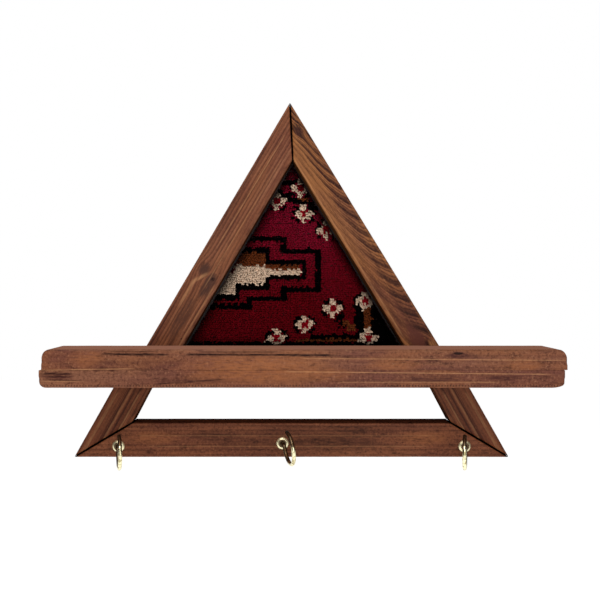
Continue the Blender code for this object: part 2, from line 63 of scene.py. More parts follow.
# %% Camera, lamps and floor
scene = bpy.context.scene
scene.view_settings.view_transform = "Standard"
WHITE = (1.0, 1.0, 1.0, 1.0)


def aimed(data, place, target):
    """A camera or lamp at a place, turned towards a target."""
    thing = bpy.data.objects.new(data.name, data)
    thing.location = place
    thing.rotation_euler = (Vector(target) - Vector(place)).to_track_quat("-Z", "Y").to_euler()
    scene.collection.objects.link(thing)
    return thing


EYE = Vector((-0.0108, -0.6213, -0.1319))
lens = bpy.data.cameras.new("camera")
lens.lens = 38.04
lens.shift_x, lens.shift_y = 0.0333, -0.02
lens.clip_start = 0.01
scene.camera = aimed(lens, EYE, EYE + Vector((0, 1, 0)))


LAMP_TARGET = (0, 0, -0.13)


def softbox(name, place, size, power):
    """A square white lamp that faces the middle of the rack."""
    lamp = bpy.data.lights.new(name, "AREA")
    lamp.size, lamp.energy = size, power
    return aimed(lamp, place, LAMP_TARGET)


softbox("high_lamp", (-0.25, -0.95, 1.05), 1.1, 22)
softbox("front_lamp", (0.35, -1.7, 0.05), 1.2, 14)


def surroundings(brightness, shown):
    """An even white all round that lights the rack softly and is seen as plain white."""
    world = bpy.data.worlds.new("white_room")
    world.use_nodes = True
    tree = world.node_tree
    tree.nodes.clear()
    rays = tree.nodes.new("ShaderNodeLightPath")
    lit, seen = (tree.nodes.new("ShaderNodeBackground") for _ in range(2))
    lit.inputs["Color"].default_value = seen.inputs["Color"].default_value = WHITE
    lit.inputs["Strength"].default_value = brightness
    seen.inputs["Strength"].default_value = shown
    mixed = tree.nodes.new("ShaderNodeMixShader")
    end = tree.nodes.new("ShaderNodeOutputWorld")
    sources = (rays.outputs["Is Camera Ray"], lit.outputs[0], seen.outputs[0])
    for socket, other in zip(mixed.inputs, sources):
        tree.links.new(other, socket)
    tree.links.new(mixed.outputs[0], end.inputs["Surface"])
    scene.world = world


surroundings(0.10, 1.0)

FLOOR_Z, FLOOR_REACH = -1.1, 6.0
floor_mesh = bpy.data.meshes.new("floor")
floor_signs = ((-1, -1), (1, -1), (1, 1), (-1, 1))
floor_corners = [(x * FLOOR_REACH, y * FLOOR_REACH, FLOOR_Z) for x, y in floor_signs]
floor_mesh.from_pydata(floor_corners, [], [(0, 1, 2, 3)])
floor = bpy.data.objects.new("floor", floor_mesh)
scene.collection.objects.link(floor)
pale = bpy.data.materials.new("pale_floor")
pale.use_nodes = True
pale_surface = pale.node_tree.nodes["Principled BSDF"]
pale_surface.inputs["Base Color"].default_value = WHITE
pale_surface.inputs["Emission Color"].default_value = WHITE
pale_surface.inputs["Emission Strength"].default_value = 0.9
floor_mesh.materials.append(pale)
print("camera sees", round(math.degrees(lens.angle), 1), "degrees")

# %% [markdown]
# ## Writing materials as formulas
# A material is a network of nodes. Adding each node by hand hides the idea, so a small class
# stands for one output socket: sums and products of such values add the Math nodes, and a wood
# pattern can be read as arithmetic. One method of the painter adds any other kind of node.

# %% A value that adds its own nodes
class Value:
    """An output socket. Python's operators on it add Math nodes."""

    def __init__(self, paint, socket):
        self.paint, self.socket = paint, socket

    def math(self, operation, *others):
        return self.paint.node("Math", {"operation": operation}, [self, *others])

    def __add__(self, other):
        return self.math("ADD", other)

    __radd__ = __add__

    def __sub__(self, other):
        return self.math("SUBTRACT", other)

    def __rsub__(self, other):
        return self.paint.node("Math", {"operation": "SUBTRACT"}, [other, self])

    def __mul__(self, other):
        return self.math("MULTIPLY", other)

    __rmul__ = __mul__

    def __pow__(self, other):
        return self.math("POWER", other)

    def __abs__(self):
        return self.math("ABSOLUTE")

    def step(self, low, high, start=0.0, end=1.0):
        """Eases from start to end as this value goes from low to high."""
        settings = {"interpolation_type": "SMOOTHSTEP"}
        return self.paint.node("MapRange", settings, [self, low, high, start, end])


class Painter:
    """A new material and the nodes that are added to it."""

    def __init__(self, name):
        self.material = bpy.data.materials.new(name)
        self.material.use_nodes = True
        self.tree = self.material.node_tree
        self.surface = self.tree.nodes["Principled BSDF"]

    def node(self, kind, settings=None, inputs=(), output=0):
        """Any node: its settings come first, then the numbers or links of its sockets."""
        node = self.tree.nodes.new("ShaderNode" + kind)
        for key, value in (settings or {}).items():
            setattr(node, key, value)
        for key, value in inputs.items() if isinstance(inputs, dict) else enumerate(inputs):
            if isinstance(value, Value):
                self.tree.links.new(value.socket, node.inputs[key])
            else:
                node.inputs[key].default_value = value
        return Value(self, node.outputs[output])

    def place(self):
        return self.node("TexCoord", output="Object")

    def vector(self, x, y, z):
        return self.node("CombineXYZ", {}, [x, y, z])

    def noise(self, where, detail=2.0, rough=0.5, scale=1.0):
        inputs = {"Vector": where, "Scale": scale, "Detail": detail, "Roughness": rough}
        return self.node("TexNoise", {}, inputs)

    def mix(self, first, second, share, blend="MIX"):
        """One colour over another, by a share from 0 to 1."""
        settings = {"data_type": "RGBA", "blend_type": blend, "clamp_factor": True}
        return self.node("Mix", settings, {0: share, 6: first, 7: second}, output=2)

    def finish(self, bump=None, bump_depth=0.0001, **inputs):
        """Sets the surface's sockets, named with _ for a space, and returns the material."""
        for key, value in inputs.items():
            socket = self.surface.inputs[key.replace("_", " ")]
            if isinstance(value, Value):
                self.tree.links.new(value.socket, socket)
            else:
                socket.default_value = value
        if bump is not None:
            lifted = self.node("Bump", {}, {"Height": bump, "Distance": bump_depth, "Strength": 1.0})
            self.tree.links.new(lifted.socket, self.surface.inputs["Normal"])
        return self.material


def colour(red, green, blue):
    """A colour given from 0 to 255 as it looks on a screen, as the linear colour that lamps need."""
    parts = [part / 255 for part in (red, green, blue)]
    linear = [part / 12.92 if part <= 0.04045 else ((part + 0.055) / 1.055) ** 2.4 for part in parts]
    return (*linear, 1.0)


# %% [markdown]
# ## Reading a piece's place from the plain model
# Every rail is a straight board, so its outline from the front is a polygon with four corners.
# Wrapping its points in the tightest polygon finds those corners, with no numbers to keep in
# step. The shelf boards have rounded corners, and the same wrap gives their upper and lower edge.

# %% Outlines
def outline(node, straight=2e-4):
    """The corners of a plain piece seen from the front, as (x, z), counter-clockwise."""
    points = sorted({(round(v.co.x, 6), round(v.co.z, 6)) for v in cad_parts[node].data.vertices})

    def chain(run):
        found = []
        for point in run:
            while len(found) > 1:
                (ax, az), (bx, bz) = found[-2:]
                if (bx - ax) * (point[1] - az) - (bz - az) * (point[0] - ax) > 0:
                    break
                found.pop()
            found.append(point)
        return found[:-1]

    corners = chain(points) + chain(points[::-1])
    changed = True
    while changed:
        changed = False
        for index, corner in enumerate(corners):
            before, after = Vector(corners[index - 1]), Vector(corners[(index + 1) % len(corners)])
            along = (after - before).normalized()
            away = Vector(corner) - before
            if abs(along.x * away.y - along.y * away.x) < straight:
                del corners[index]
                changed = True
                break
    return [Vector(corner) for corner in corners]


RACK_MIDDLE = Vector((0.0, -0.15))


def ends_of(node, axis):
    """A rail's two ends, first the upper or left one, each as its inner and outer corner."""
    corners = sorted(outline(node), key=lambda corner: corner[axis], reverse=axis == 1)
    pairs = (corners[:2], corners[-2:])
    return [sorted(pair, key=lambda corner: (corner - RACK_MIDDLE).length) for pair in pairs]


RAILS = {
    "upper_left_rail": 1,
    "upper_right_rail": 1,
    "lower_left_rail": 1,
    "lower_right_rail": 1,
    "cross_rail": 0,
    "bottom_rail": 0,
}
rail_ends = {name: ends_of(name, axis) for name, axis in RAILS.items()}
for name, (start, end) in rail_ends.items():
    print(name, [tuple(round(part * 1000, 1) for part in corner) for corner in start + end])

# %% [markdown]
# ## Boards
# A real board is never a perfect block: its long edges are rounded a little more here and less
# there, and its faces are slightly wavy from sanding. So a board starts as a box with a fine grid
# over its skin. Points near an edge are pulled onto a small radius that changes along the board,
# and then the whole box is stretched between the board's two long edges. At a mitre the front of
# the end is planed back, which leaves the open dark line that these joints show; the wood's
# material darkens the line further with stain and painted shade.

# %% Making a board
def spaced(length, step, edge):
    """Places from 0 to length, a step apart in the middle and closer together near both ends."""
    near = [edge * share for share in (0, 0.2, 0.45, 0.7, 1.0)]
    gap = edge * 0.45
    while near[-1] + gap < length / 2 - step:
        near.append(near[-1] + gap)
        gap = min(step, gap * 1.3)
        if gap == step:
            break
    count = max(1, round((length - 2 * near[-1]) / step))
    middle = np.linspace(near[-1], length - near[-1], count + 1)[1:-1]
    return np.array([*near, *middle, *(length - place for place in near[::-1])])


def box_skin(us, vs, ws):
    """The points and faces of a box whose grid lines are at these places."""
    points, faces, index = [], [], {}
    counts = (len(us) - 1, len(vs) - 1, len(ws) - 1)
    lines = (us, vs, ws)

    def point(place):
        if place not in index:
            index[place] = len(points)
            points.append([line[k] for line, k in zip(lines, place)])
        return index[place]

    for axis in range(3):
        first, second = [other for other in range(3) if other != axis]
        for side in (0, counts[axis]):
            for i in range(counts[first]):
                for j in range(counts[second]):
                    quad = []
                    for di, dj in ((0, 0), (1, 0), (1, 1), (0, 1)):
                        place = [0, 0, 0]
                        place[axis], place[first], place[second] = side, i + di, j + dj
                        quad.append(point(tuple(place)))
                    faces.append(quad)
    return np.array(points), faces


def link(name, mesh, material=None, smooth_below=None):
    """A new object with this mesh, in place."""
    obj = bpy.data.objects.new(name, mesh)
    scene.collection.objects.link(obj)
    if material is not None:
        mesh.materials.clear()
        mesh.materials.append(material)
    if smooth_below is not None:
        mesh.polygons.foreach_set("use_smooth", [True] * len(mesh.polygons))
        mesh.set_sharp_from_angle(angle=math.radians(smooth_below))
    return obj


GROOVE_DEPTH, GROOVE_REACH = 0.0045, 0.008
INNER_FADE, OUTER_FADE = 0.003, 0.007


def board(name, low, high, length, width, front, back, edges, ends, wave=0.00012, step=0.0022):
    """A board whose long edges are low(share) and high(share), as (x, z) for shares of its length.

    edges are the radii of its arrises along low and high. ends holds, for each end, the radius
    of its arrises, how far its front is planed back, and how much longer the board is there.
    """
    thickness = back - front
    widest = max(edges)
    us, vs, ws = (spaced(size, step, widest) for size in (length, width, thickness))
    points, faces = box_skin(us, vs, ws)
    u, v, w = points.T
    wear = np.array([noise.noise((place * 30, front * 90, width * 70)) for place in us])
    radius = np.where(v < width / 2, edges[0], edges[1]) * (1 + 0.35 * np.interp(u, us, wear))
    sizes = np.array([length, width, thickness])
    end_radius = np.where(u < length / 2, ends[0][0], ends[1][0])
    margin = np.column_stack([end_radius, radius, radius])
    radius = radius[:, None]
    inside = np.clip(points, margin, sizes - margin)
    away = (points - inside) * radius / margin
    reach = np.linalg.norm(away, axis=1, keepdims=True)
    points = inside + away / np.maximum(reach, 1e-9) * np.minimum(reach, radius) * margin / radius
    u, v, w = points.T
    open_front = np.clip(1 - w / GROOVE_DEPTH, 0, 1) ** 0.7
    open_front = open_front * np.clip(v / INNER_FADE, 0, 1) * np.clip((width - v) / OUTER_FADE, 0, 1)
    for (_, groove, longer), from_end, sign in ((ends[0], u, 1), (ends[1], length - u, -1)):
        u = u + sign * (groove * open_front - longer) * np.clip(1 - from_end / GROOVE_REACH, 0, 1)
    share, across = (u / length)[:, None], (v / width)[:, None]
    seen = low(share) * (1 - across) + high(share) * across
    places = np.column_stack([seen[:, 0], front + w, seen[:, 1]])
    mesh = bpy.data.meshes.new(name)
    mesh.from_pydata(places.tolist(), [], faces)
    bm = bmesh.new()
    bm.from_mesh(mesh)
    bmesh.ops.recalc_face_normals(bm, faces=bm.faces)
    bm.normal_update()
    for vert in bm.verts:
        where = vert.co * 45
        worn = 0.5 + 0.5 * noise.noise(where) + 0.25 * noise.noise(where * 5)
        vert.co -= vert.normal * wave * worn
    bm.to_mesh(mesh)
    bm.free()
    return mesh


def describe(name, length, width, mesh):
    size = f"{length * 1000:.0f} by {width * 1000:.1f} mm"
    print(name, "is", size, "with", len(mesh.polygons), "faces")


def straight(first, second):
    """The straight edge between two corners, as a function of the share along it."""
    first, second = np.array(first), np.array(second)
    return lambda share: first + (second - first) * share


# %% [markdown]
# ## Stained pine
# The rails are softwood with a reddish brown stain. Growth rings are shells round the tree's
# middle, so a board shows them as fine straight lines where it was cut far from the middle, and
# as nested flames where it leans away from it. The pattern works out how far each point is from
# the tree's middle and darkens the end of each ring. Finer noise stretched along the board adds
# fibres, broad noise adds patches where the stain took unevenly, and each board gets its own
# knots, streaks and specks by their place along and across it.

# %% The wood's pattern
def spot(u, v, middle, size):
    """1 in the middle of a soft oval, 0 outside it."""
    du, dv = (u - middle[0]) * (1 / size[0]), (v - middle[1]) * (1 / size[1])
    return (1 - (du * du + dv * dv)).step(0, 1)


def streak(u, v, start, end, place, half, rise=0.0):
    """1 on a thin line along the board from start to end, which may rise across it."""
    middle = place + (u - start) * rise
    along = u.step(start - 0.004, start + 0.004) * u.step(end - 0.006, end + 0.006, 1, 0)
    return abs(v - middle).step(half * 0.3, half * 1.3, 1, 0) * along


DEFAULT_LOOK = {
    "wander": 0.006,
    "ripple": 0.0006,
    "lean_fades": 0.0,
    "weakest_ring": 0.35,
    "ring_reach": None,
    "ring_strength": 0.6,
    "fine_rings": 0.3,
    "bands": 0.3,
    "blotches": 0.3,
    "fibre": 0.45,
    "fleck": 0.4,
    "mottle": 0.25,
    "mottle_size": (420, 520),
    "pale_share": 0.5,
    "rubbed": 0.25,
    "knots": (),
    "spots": (),
    "streaks": (),
    "mitre": (),
    "beads": None,
}
SHEEN, SHEEN_ROUGHNESS = 0.10, 0.42
BEAD_PITCH, BEAD_WANDER = 0.0026, 0.004
WOOD_RELIEF = 0.00016


def wood(name, start, along, across, width, front, look):
    """Stained pine for a board that starts at a point and runs along a direction, both (x, z)."""
    paint = Painter(name)
    place = paint.place()
    parts = [paint.node("SeparateXYZ", {}, [place], output=axis) for axis in range(3)]

    def measured(direction):
        shift = start[0] * direction[0] + start[1] * direction[1]
        return parts[0] * direction[0] + parts[2] * direction[1] - shift

    u, v, w = measured(along), measured(across), parts[1] - front
    dark, pale = look["dark"], look["pale"]
    look = {**DEFAULT_LOOK, "knot": dark, **look}
    seed = look["seed"]

    def grain(per_u, per_v, detail=2.0, rough=0.5, shift=0.0):
        """Noise with this many waves a metre along the board and across it."""
        where = paint.vector(u * per_u + seed + shift, v * per_v + shift, w * per_v)
        return paint.noise(where, detail, rough)

    def stain(tone, pattern, deep, thin, share, pale_part=1.0):
        """Darkens where a pattern is high and lightens where it is low."""
        tone = paint.mix(tone, dark, pattern.step(*deep) * share)
        return paint.mix(tone, pale, pattern.step(*thin, 1, 0) * (share * pale_part))

    # Growth rings, bent round each knot.
    bent = v + (grain(7, 16, 1.0) - 0.5) * look["wander"]
    for knot_u, knot_v, size in look["knots"]:
        du, dv = (u - knot_u) * (1 / (2.4 * size)), (v - knot_v) * (1 / (1.6 * size))
        near = paint.node("Math", {"operation": "EXPONENT"}, [(du * du + dv * dv) * -1])
        bent = bent - near * dv * (1.3 * size)
    heart_v, heart_depth, lean = look["heart"]
    depth = w + u * (1 - u * look["lean_fades"]) * lean + heart_depth
    off = bent - heart_v
    shell = (off * off + depth * depth) ** 0.5
    shell = shell + (grain(60, 260, 2.0) - 0.5) * look["ripple"]
    turn = shell * (1 / look["ring"])
    within = turn.math("FRACT")
    ring = within.step(0.25, 0.85) * within.step(0.88, 1.0, 1, 0)
    strong = paint.noise(paint.vector(turn * 0.37, u * 3, seed), 1.0)
    strong = strong.step(0.3, 0.6, look["weakest_ring"], 1.0)
    ring = ring * strong
    fine = (turn * 3.3).math("FRACT").step(0.35, 0.9)

    fibre = grain(38, 1500, 3.0, 0.6, 3.1)
    fleck = grain(420, 1500, 2.0, 0.7, 7.7)
    mottle = grain(*look["mottle_size"], 3.0, 0.75, 2.3)
    blotch = grain(70, 150, 3.0, 0.7, 6.1)
    band = grain(4, 190, 2.0, 0.6, 4.4)
    patch = grain(14, 48, 3.0, 0.6, 1.9)
    broad = grain(5, 14, 1.0, 0.5, 5.3)

    tone = paint.mix(look["red"], look["gold"], patch.step(0.34, 0.66))
    tone = paint.mix(tone, pale, broad.step(0.45, 0.75) * look["pale_share"])
    tone = stain(tone, band, (0.5, 0.72), (0.28, 0.46), look["bands"])
    tone = paint.mix(tone, dark, blotch.step(0.5, 0.75) * look["blotches"])
    tone = stain(tone, fibre, (0.5, 0.72), (0.28, 0.42), look["fibre"], 0.8)
    strength = look["ring_strength"]
    if look["ring_reach"] is not None:
        strength = v.step(*look["ring_reach"], strength * 0.4, strength)
    tone = paint.mix(tone, dark, ring * strength)
    tone = paint.mix(tone, dark, fine * strength * look["fine_rings"])
    tone = stain(tone, fleck, (0.55, 0.75), (0.25, 0.4), look["fleck"], 0.6)
    tone = stain(tone, mottle, (0.5, 0.72), (0.28, 0.46), look["mottle"])
    for knot_u, knot_v, size in look["knots"]:
        du, dv = (u - knot_u) * (1 / size), (v - knot_v) * (1 / (0.8 * size))
        out = (du * du + dv * dv) ** 0.5 + (grain(160, 300) - 0.5) * 0.8
        rings = (out * 3.2).math("FRACT").step(0.3, 0.9)
        tone = paint.mix(tone, look["knot"], out.step(0.75, 1.15, 1, 0) * (rings * 0.5 + 0.4))
    uneven = grain(110, 700, 3.0, 0.7, 8.8).step(0.3, 0.66, 0.15, 1.25)
    for shade, *where, amount in look["spots"]:
        tone = paint.mix(tone, shade, spot(u, v, *where) * uneven * amount)
    for shade, *where, amount in look["streaks"]:
        tone = paint.mix(tone, shade, streak(u, v, *where) * (uneven * 0.6 + 0.35) * amount)

    # Arrises: the stain is rubbed thin along both front edges, and the sides get painted light and shade.
    from_edge = abs(v - width / 2) * -1 + width / 2
    rubbed = from_edge.step(0.0008, 0.0030, 1, 0) * grain(90, 200).step(0.35, 0.65)
    tone = paint.mix(tone, pale, rubbed * look["rubbed"])
    on_side = w.step(0.0008, 0.0024)
    sheen = (1 - on_side) * SHEEN
    # Each mitre is painted near black on both sides: stain gathered in the joint, and painted shade in
    # its gap.
    for point, normal in look["mitre"]:
        shift = point[0] * normal[0] + point[1] * normal[1]
        away = abs(parts[0] * normal[0] + parts[2] * normal[1] - shift)
        tone = paint.mix(tone, STAIN_AND_SHADE_BLACK, away.step(0.0002, 0.0011, 1, 0))
        sheen = sheen * away.step(0.001, 0.003)
    if look["beads"] is not None:
        place_v, half, shade, amount = look["beads"]
        shaken = u + (grain(30, 30) - 0.5) * BEAD_WANDER
        dotted = (shaken * (math.tau / BEAD_PITCH)).math("SINE").step(-0.2, 0.8)
        row = abs(v - place_v).step(half * 0.4, half, 1, 0) * dotted
        tone = paint.mix(tone, shade, row * amount * patch * 2)
    # Painted light and shade on the sides: near black as shade on the rails, pale on the shelf as its top
    # is lit from above.
    painted_side_tone, painted_side_share = look["sides"]
    tone = paint.mix(tone, painted_side_tone, on_side * painted_side_share)
    rough = fibre * 0.16 + patch * 0.14 + 0.44
    relief = fibre * 0.5 + fleck * 0.25 - ring * 0.5
    paint.surface.inputs["Specular IOR Level"].default_value = 0.0
    paint.surface.inputs["Coat Roughness"].default_value = SHEEN_ROUGHNESS
    return paint.finish(relief, WOOD_RELIEF, Coat_Weight=sheen, Base_Color=tone, Roughness=rough)


# %% [markdown]
# ### What is particular to each board
# The upper left rail is straight-grained with one swirling knot. The upper right rail is the
# showpiece: dark flames that sweep down to its outer edge over a golden inner half. The short
# lower rails and the bottom rail are plainer, and darker both in their wood and by painted shade
# from the shelf above them. The shelf is mottled red and orange with a few thin pale lines, a dark
# crack near its top edge and dark marks at its ends. Every board's sides are painted too: near
# black as shade on the rails, and pale on the shelf as its lit top.

# %% Each board's look
# A near black for painted shade on the rails' sides and the backing board's face, and for stain and
# painted shade in the mitres.
STAIN_AND_SHADE_BLACK = colour(14, 8, 6)
PINE = {
    "red": colour(98, 55, 39),
    "gold": colour(114, 68, 44),
    "pale": colour(142, 95, 68),
    "dark": colour(40, 17, 13),
    # Painted shade: the side faces are darkened towards near black.
    "sides": (STAIN_AND_SHADE_BLACK, 0.6),
}
# Darker than PINE, partly as painted shade from the shelf above these rails, with painted shade on the
# sides too.
LOW_PINE_WITH_SHADE = {
    "red": colour(82, 42, 28),
    "gold": colour(92, 49, 31),
    "pale": colour(118, 72, 47),
    "dark": colour(36, 15, 10),
    "sides": (STAIN_AND_SHADE_BLACK, 0.45),
}
SHELF_PINE = {
    "red": colour(96, 56, 45),
    "gold": colour(117, 71, 47),
    "pale": colour(134, 92, 67),
    "dark": colour(55, 28, 21),
    # Painted light: the shelf's sides are made pale, as its top is lit from above.
    "sides": (colour(156, 108, 88), 0.85),
}
GREY_KNOT = colour(62, 39, 31)

DEEP_BROWN = colour(32, 15, 11)
PLUM = colour(62, 32, 27)
ORANGE = colour(136, 82, 48)
STRAW = colour(164, 118, 80)
GOLDEN = colour(142, 96, 56)
REDDISH = colour(80, 41, 32)
SHORT_RAIL = {
    "seed": 9.1,
    "heart": (-0.02, 0.02, 0.0),
    "ring": 0.0038,
    "bands": 0.7,
    "mottle": 0.35,
    "pale_share": 0.7,
    "streaks": [
        (STRAW, 0.000, 0.075, 0.0060, 0.0009, 0.0, 0.30),
        (STRAW, 0.000, 0.080, 0.0140, 0.0012, 0.0, 0.25),
        (STRAW, 0.010, 0.080, 0.0245, 0.0012, 0.0, 0.25),
        (DEEP_BROWN, 0.000, 0.060, 0.0105, 0.0008, 0.0, 0.6),
        (DEEP_BROWN, 0.000, 0.080, 0.0175, 0.0007, 0.0, 0.5),
    ],
}

looks = {
    "upper_left_rail": {
        **PINE,
        "seed": 1.7,
        "heart": (0.060, 0.010, 0.0),
        "ring": 0.0032,
        "ring_strength": 0.5,
        "bands": 0.6,
        "blotches": 0.35,
        "knots": [(0.180, 0.0085, 0.0060), (0.176, 0.0190, 0.0050)],
        "knot": GREY_KNOT,
        "spots": [
            (GREY_KNOT, (0.1757, 0.0185), (0.0090, 0.0070), 1.0),
            (GREY_KNOT, (0.1905, 0.0085), (0.0130, 0.0065), 1.2),
            (GREY_KNOT, (0.1820, 0.0080), (0.0075, 0.0070), 1.0),
            (DEEP_BROWN, (0.1800, 0.0070), (0.0028, 0.0022), 1.3),
            (DEEP_BROWN, (0.1720, 0.0225), (0.0040, 0.0020), 0.7),
            (GREY_KNOT, (0.2250, 0.0140), (0.0300, 0.0080), 0.6),
            (DEEP_BROWN, (0.2430, 0.0045), (0.0012, 0.0008), 1.4),
        ],
        "streaks": [
            (STRAW, 0.1780, 0.1905, 0.0150, 0.0020, 0.55, 0.50),
            (STRAW, 0.1880, 0.2150, 0.0218, 0.0017, 0.02, 0.40),
            (STRAW, 0.1850, 0.2600, 0.0030, 0.0010, 0.0, 0.35),
            (STRAW, 0.0300, 0.1500, 0.0180, 0.0007, 0.01, 0.35),
            (STRAW, 0.0500, 0.1900, 0.0090, 0.0006, 0.01, 0.30),
        ],
    },
    "upper_right_rail": {
        **PINE,
        "gold": colour(122, 74, 42),
        "pale": colour(158, 106, 62),
        "seed": 4.2,
        "heart": (0.0310, 0.001, 0.24),
        "lean_fades": 0.6,
        "ring": 0.0034,
        "ring_strength": 1.15,
        "weakest_ring": 0.65,
        "ring_reach": (0.009, 0.016),
        "fine_rings": 0.6,
        "fibre": 0.40,
        "bands": 0.35,
        "wander": 0.008,
        "ripple": 0.0009,
        "spots": [
            (DEEP_BROWN, (0.026, 0.0190), (0.0100, 0.0055), 0.8),
            (REDDISH, (0.2500, 0.0110), (0.0200, 0.0080), 1.0),
            (GOLDEN, (0.2660, 0.0210), (0.0100, 0.0040), 0.8),
        ],
        "knots": [(0.0270, 0.0185, 0.0045), (0.2520, 0.0110, 0.0085)],
        "knot": REDDISH,
        "streaks": [
            (STRAW, 0.020, 0.240, 0.0012, 0.0007, 0.0, 0.35),
        ],
    },
    "lower_left_rail": {**LOW_PINE_WITH_SHADE, **SHORT_RAIL},
    "lower_right_rail": {**LOW_PINE_WITH_SHADE, **SHORT_RAIL},
    "cross_rail": {**LOW_PINE_WITH_SHADE, "seed": 5.6, "heart": (-0.03, 0.02, 0.0), "ring": 0.0030},
    "bottom_rail": {
        **LOW_PINE_WITH_SHADE,
        # Lighter than the other low rails, with less of the shelf's painted shade, and less painted shade
        # on its sides.
        "red": colour(94, 53, 37),
        "gold": colour(110, 64, 42),
        "sides": (STAIN_AND_SHADE_BLACK, 0.35),
        "seed": 12.4,
        "heart": (0.055, 0.012, 0.0),
        "ring": 0.0042,
        "ring_strength": 0.4,
        "wander": 0.004,
        "bands": 0.35,
        "blotches": 0.8,
        "mottle": 0.75,
        "mottle_size": (430, 330),
        "pale_share": 0.9,
        "spots": [
            (DEEP_BROWN, (0.245, 0.018), (0.050, 0.010), 0.45),
            (DEEP_BROWN, (0.130, 0.012), (0.030, 0.006), 0.4),
            (DEEP_BROWN, (0.205, 0.016), (0.105, 0.016), 0.30),
            (DEEP_BROWN, (0.262, 0.006), (0.030, 0.005), 0.5),
            (ORANGE, (0.075, 0.014), (0.030, 0.008), 0.35),
            (ORANGE, (0.330, 0.014), (0.030, 0.008), 0.35),
        ],
        "streaks": [
            (STRAW, 0.070, 0.330, 0.0218, 0.0006, 0.0, 0.22),
            (STRAW, 0.060, 0.340, 0.0118, 0.0006, 0.0, 0.20),
        ],
    },
}

# %% Rails
RAIL_EDGE = 0.0012
FRAME_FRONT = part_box("upper_left_rail")[0].y
FRAME_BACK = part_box("upper_left_rail")[1].y
END_EDGE, MITRE_EDGE = 0.0006, 0.0001
MITRE_OPENING = 0.0008
MITRE_OVERLAP = 0.00024


def flat(corner):
    return Vector((corner[0], corner[1]))


def mitre_of(end):
    """A mitre line as one of its points and the direction square to it."""
    run = (flat(end[1]) - flat(end[0])).normalized()
    return flat(end[0]), Vector((-run.y, run.x))


def make_rail(name, mitred):
    start, end = rail_ends[name]
    low, high = straight(start[0], end[0]), straight(start[1], end[1])
    along = (flat(end[1]) - flat(start[1])).normalized()
    side = flat(start[1]) - flat(start[0])
    across = (side - along * side.dot(along)).normalized()
    width = side.dot(across)
    length = ((flat(end[0]) - flat(start[0])).length + (flat(end[1]) - flat(start[1])).length) / 2
    shapes = []
    for corner, is_mitred in zip((start, end), mitred):
        lean = abs(mitre_of(corner)[1].dot(along))
        mitre_shape = (MITRE_EDGE, MITRE_OPENING / lean, MITRE_OVERLAP / lean)
        shapes.append(mitre_shape if is_mitred else (END_EDGE, 0.0, 0.0))
    mesh = board(name, low, high, length, width, FRAME_FRONT, FRAME_BACK, (RAIL_EDGE, RAIL_EDGE), shapes)
    look = dict(looks[name])
    look["mitre"] = [mitre_of(corner) for corner, is_mitred in zip((start, end), mitred) if is_mitred]
    inner_start = flat(start[1]) - across * width
    material = wood(f"pine_{name}", inner_start, along, across, width, FRAME_FRONT, look)
    piece = link(f"{name}_wood", mesh, material, 40)
    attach(piece, "frame")
    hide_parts(name)
    describe(name, length, width, mesh)


MITRED = {
    "upper_left_rail": (True, False),
    "upper_right_rail": (True, False),
    "lower_left_rail": (False, True),
    "lower_right_rail": (False, True),
    "cross_rail": (False, False),
    "bottom_rail": (True, True),
}
for name, mitred in MITRED.items():
    make_rail(name, mitred)

# %% [markdown]
# ## Shelf
# Two boards are glued one on the other. Seen from the front each has its own rounded corners and
# the lower one sits a little to the left, so both ends show a small step. Their outer arrises
# are well rounded by sanding, but along the glued seam they are sharp, which is why the seam is
# hardly seen. The same board maker is used, with the outline's upper and lower edge as its guides.

# %% Shelf boards
SHELF_EDGE = 0.0019
SEAM_EDGE = 0.00015
seam_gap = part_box("shelf_upper_board")[0].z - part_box("shelf_lower_board")[1].z


def edge_between(node, upper, drop=0.0):
    """The upper or lower edge of a board's outline, as a function of the share along it."""
    corners = outline(node, 2e-5)
    left, right = min(corner.x for corner in corners), max(corner.x for corner in corners)
    start = min(range(len(corners)), key=lambda index: (round(corners[index].x, 5), corners[index].y))
    around = corners[start:] + corners[:start]
    at_right = [index for index, corner in enumerate(around) if corner.x > right - 1e-5]
    run = around[at_right[-1] :] + around[:1] if upper else around[: at_right[0] + 1]
    if upper and around[-1].x < left + 1e-5:
        run = run[:-1]
    xs, zs = zip(*sorted((corner.x, corner.y) for corner in run))

    def edge(share):
        x = left + (right - left) * share
        return np.column_stack([x[:, 0], np.interp(x[:, 0], xs, zs) - drop])

    return edge


SHELF_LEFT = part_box("shelf_upper_board")[0].x
SHELF_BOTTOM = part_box("shelf_lower_board")[0].z
SHELF_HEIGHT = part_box("shelf_upper_board")[1].z - SHELF_BOTTOM

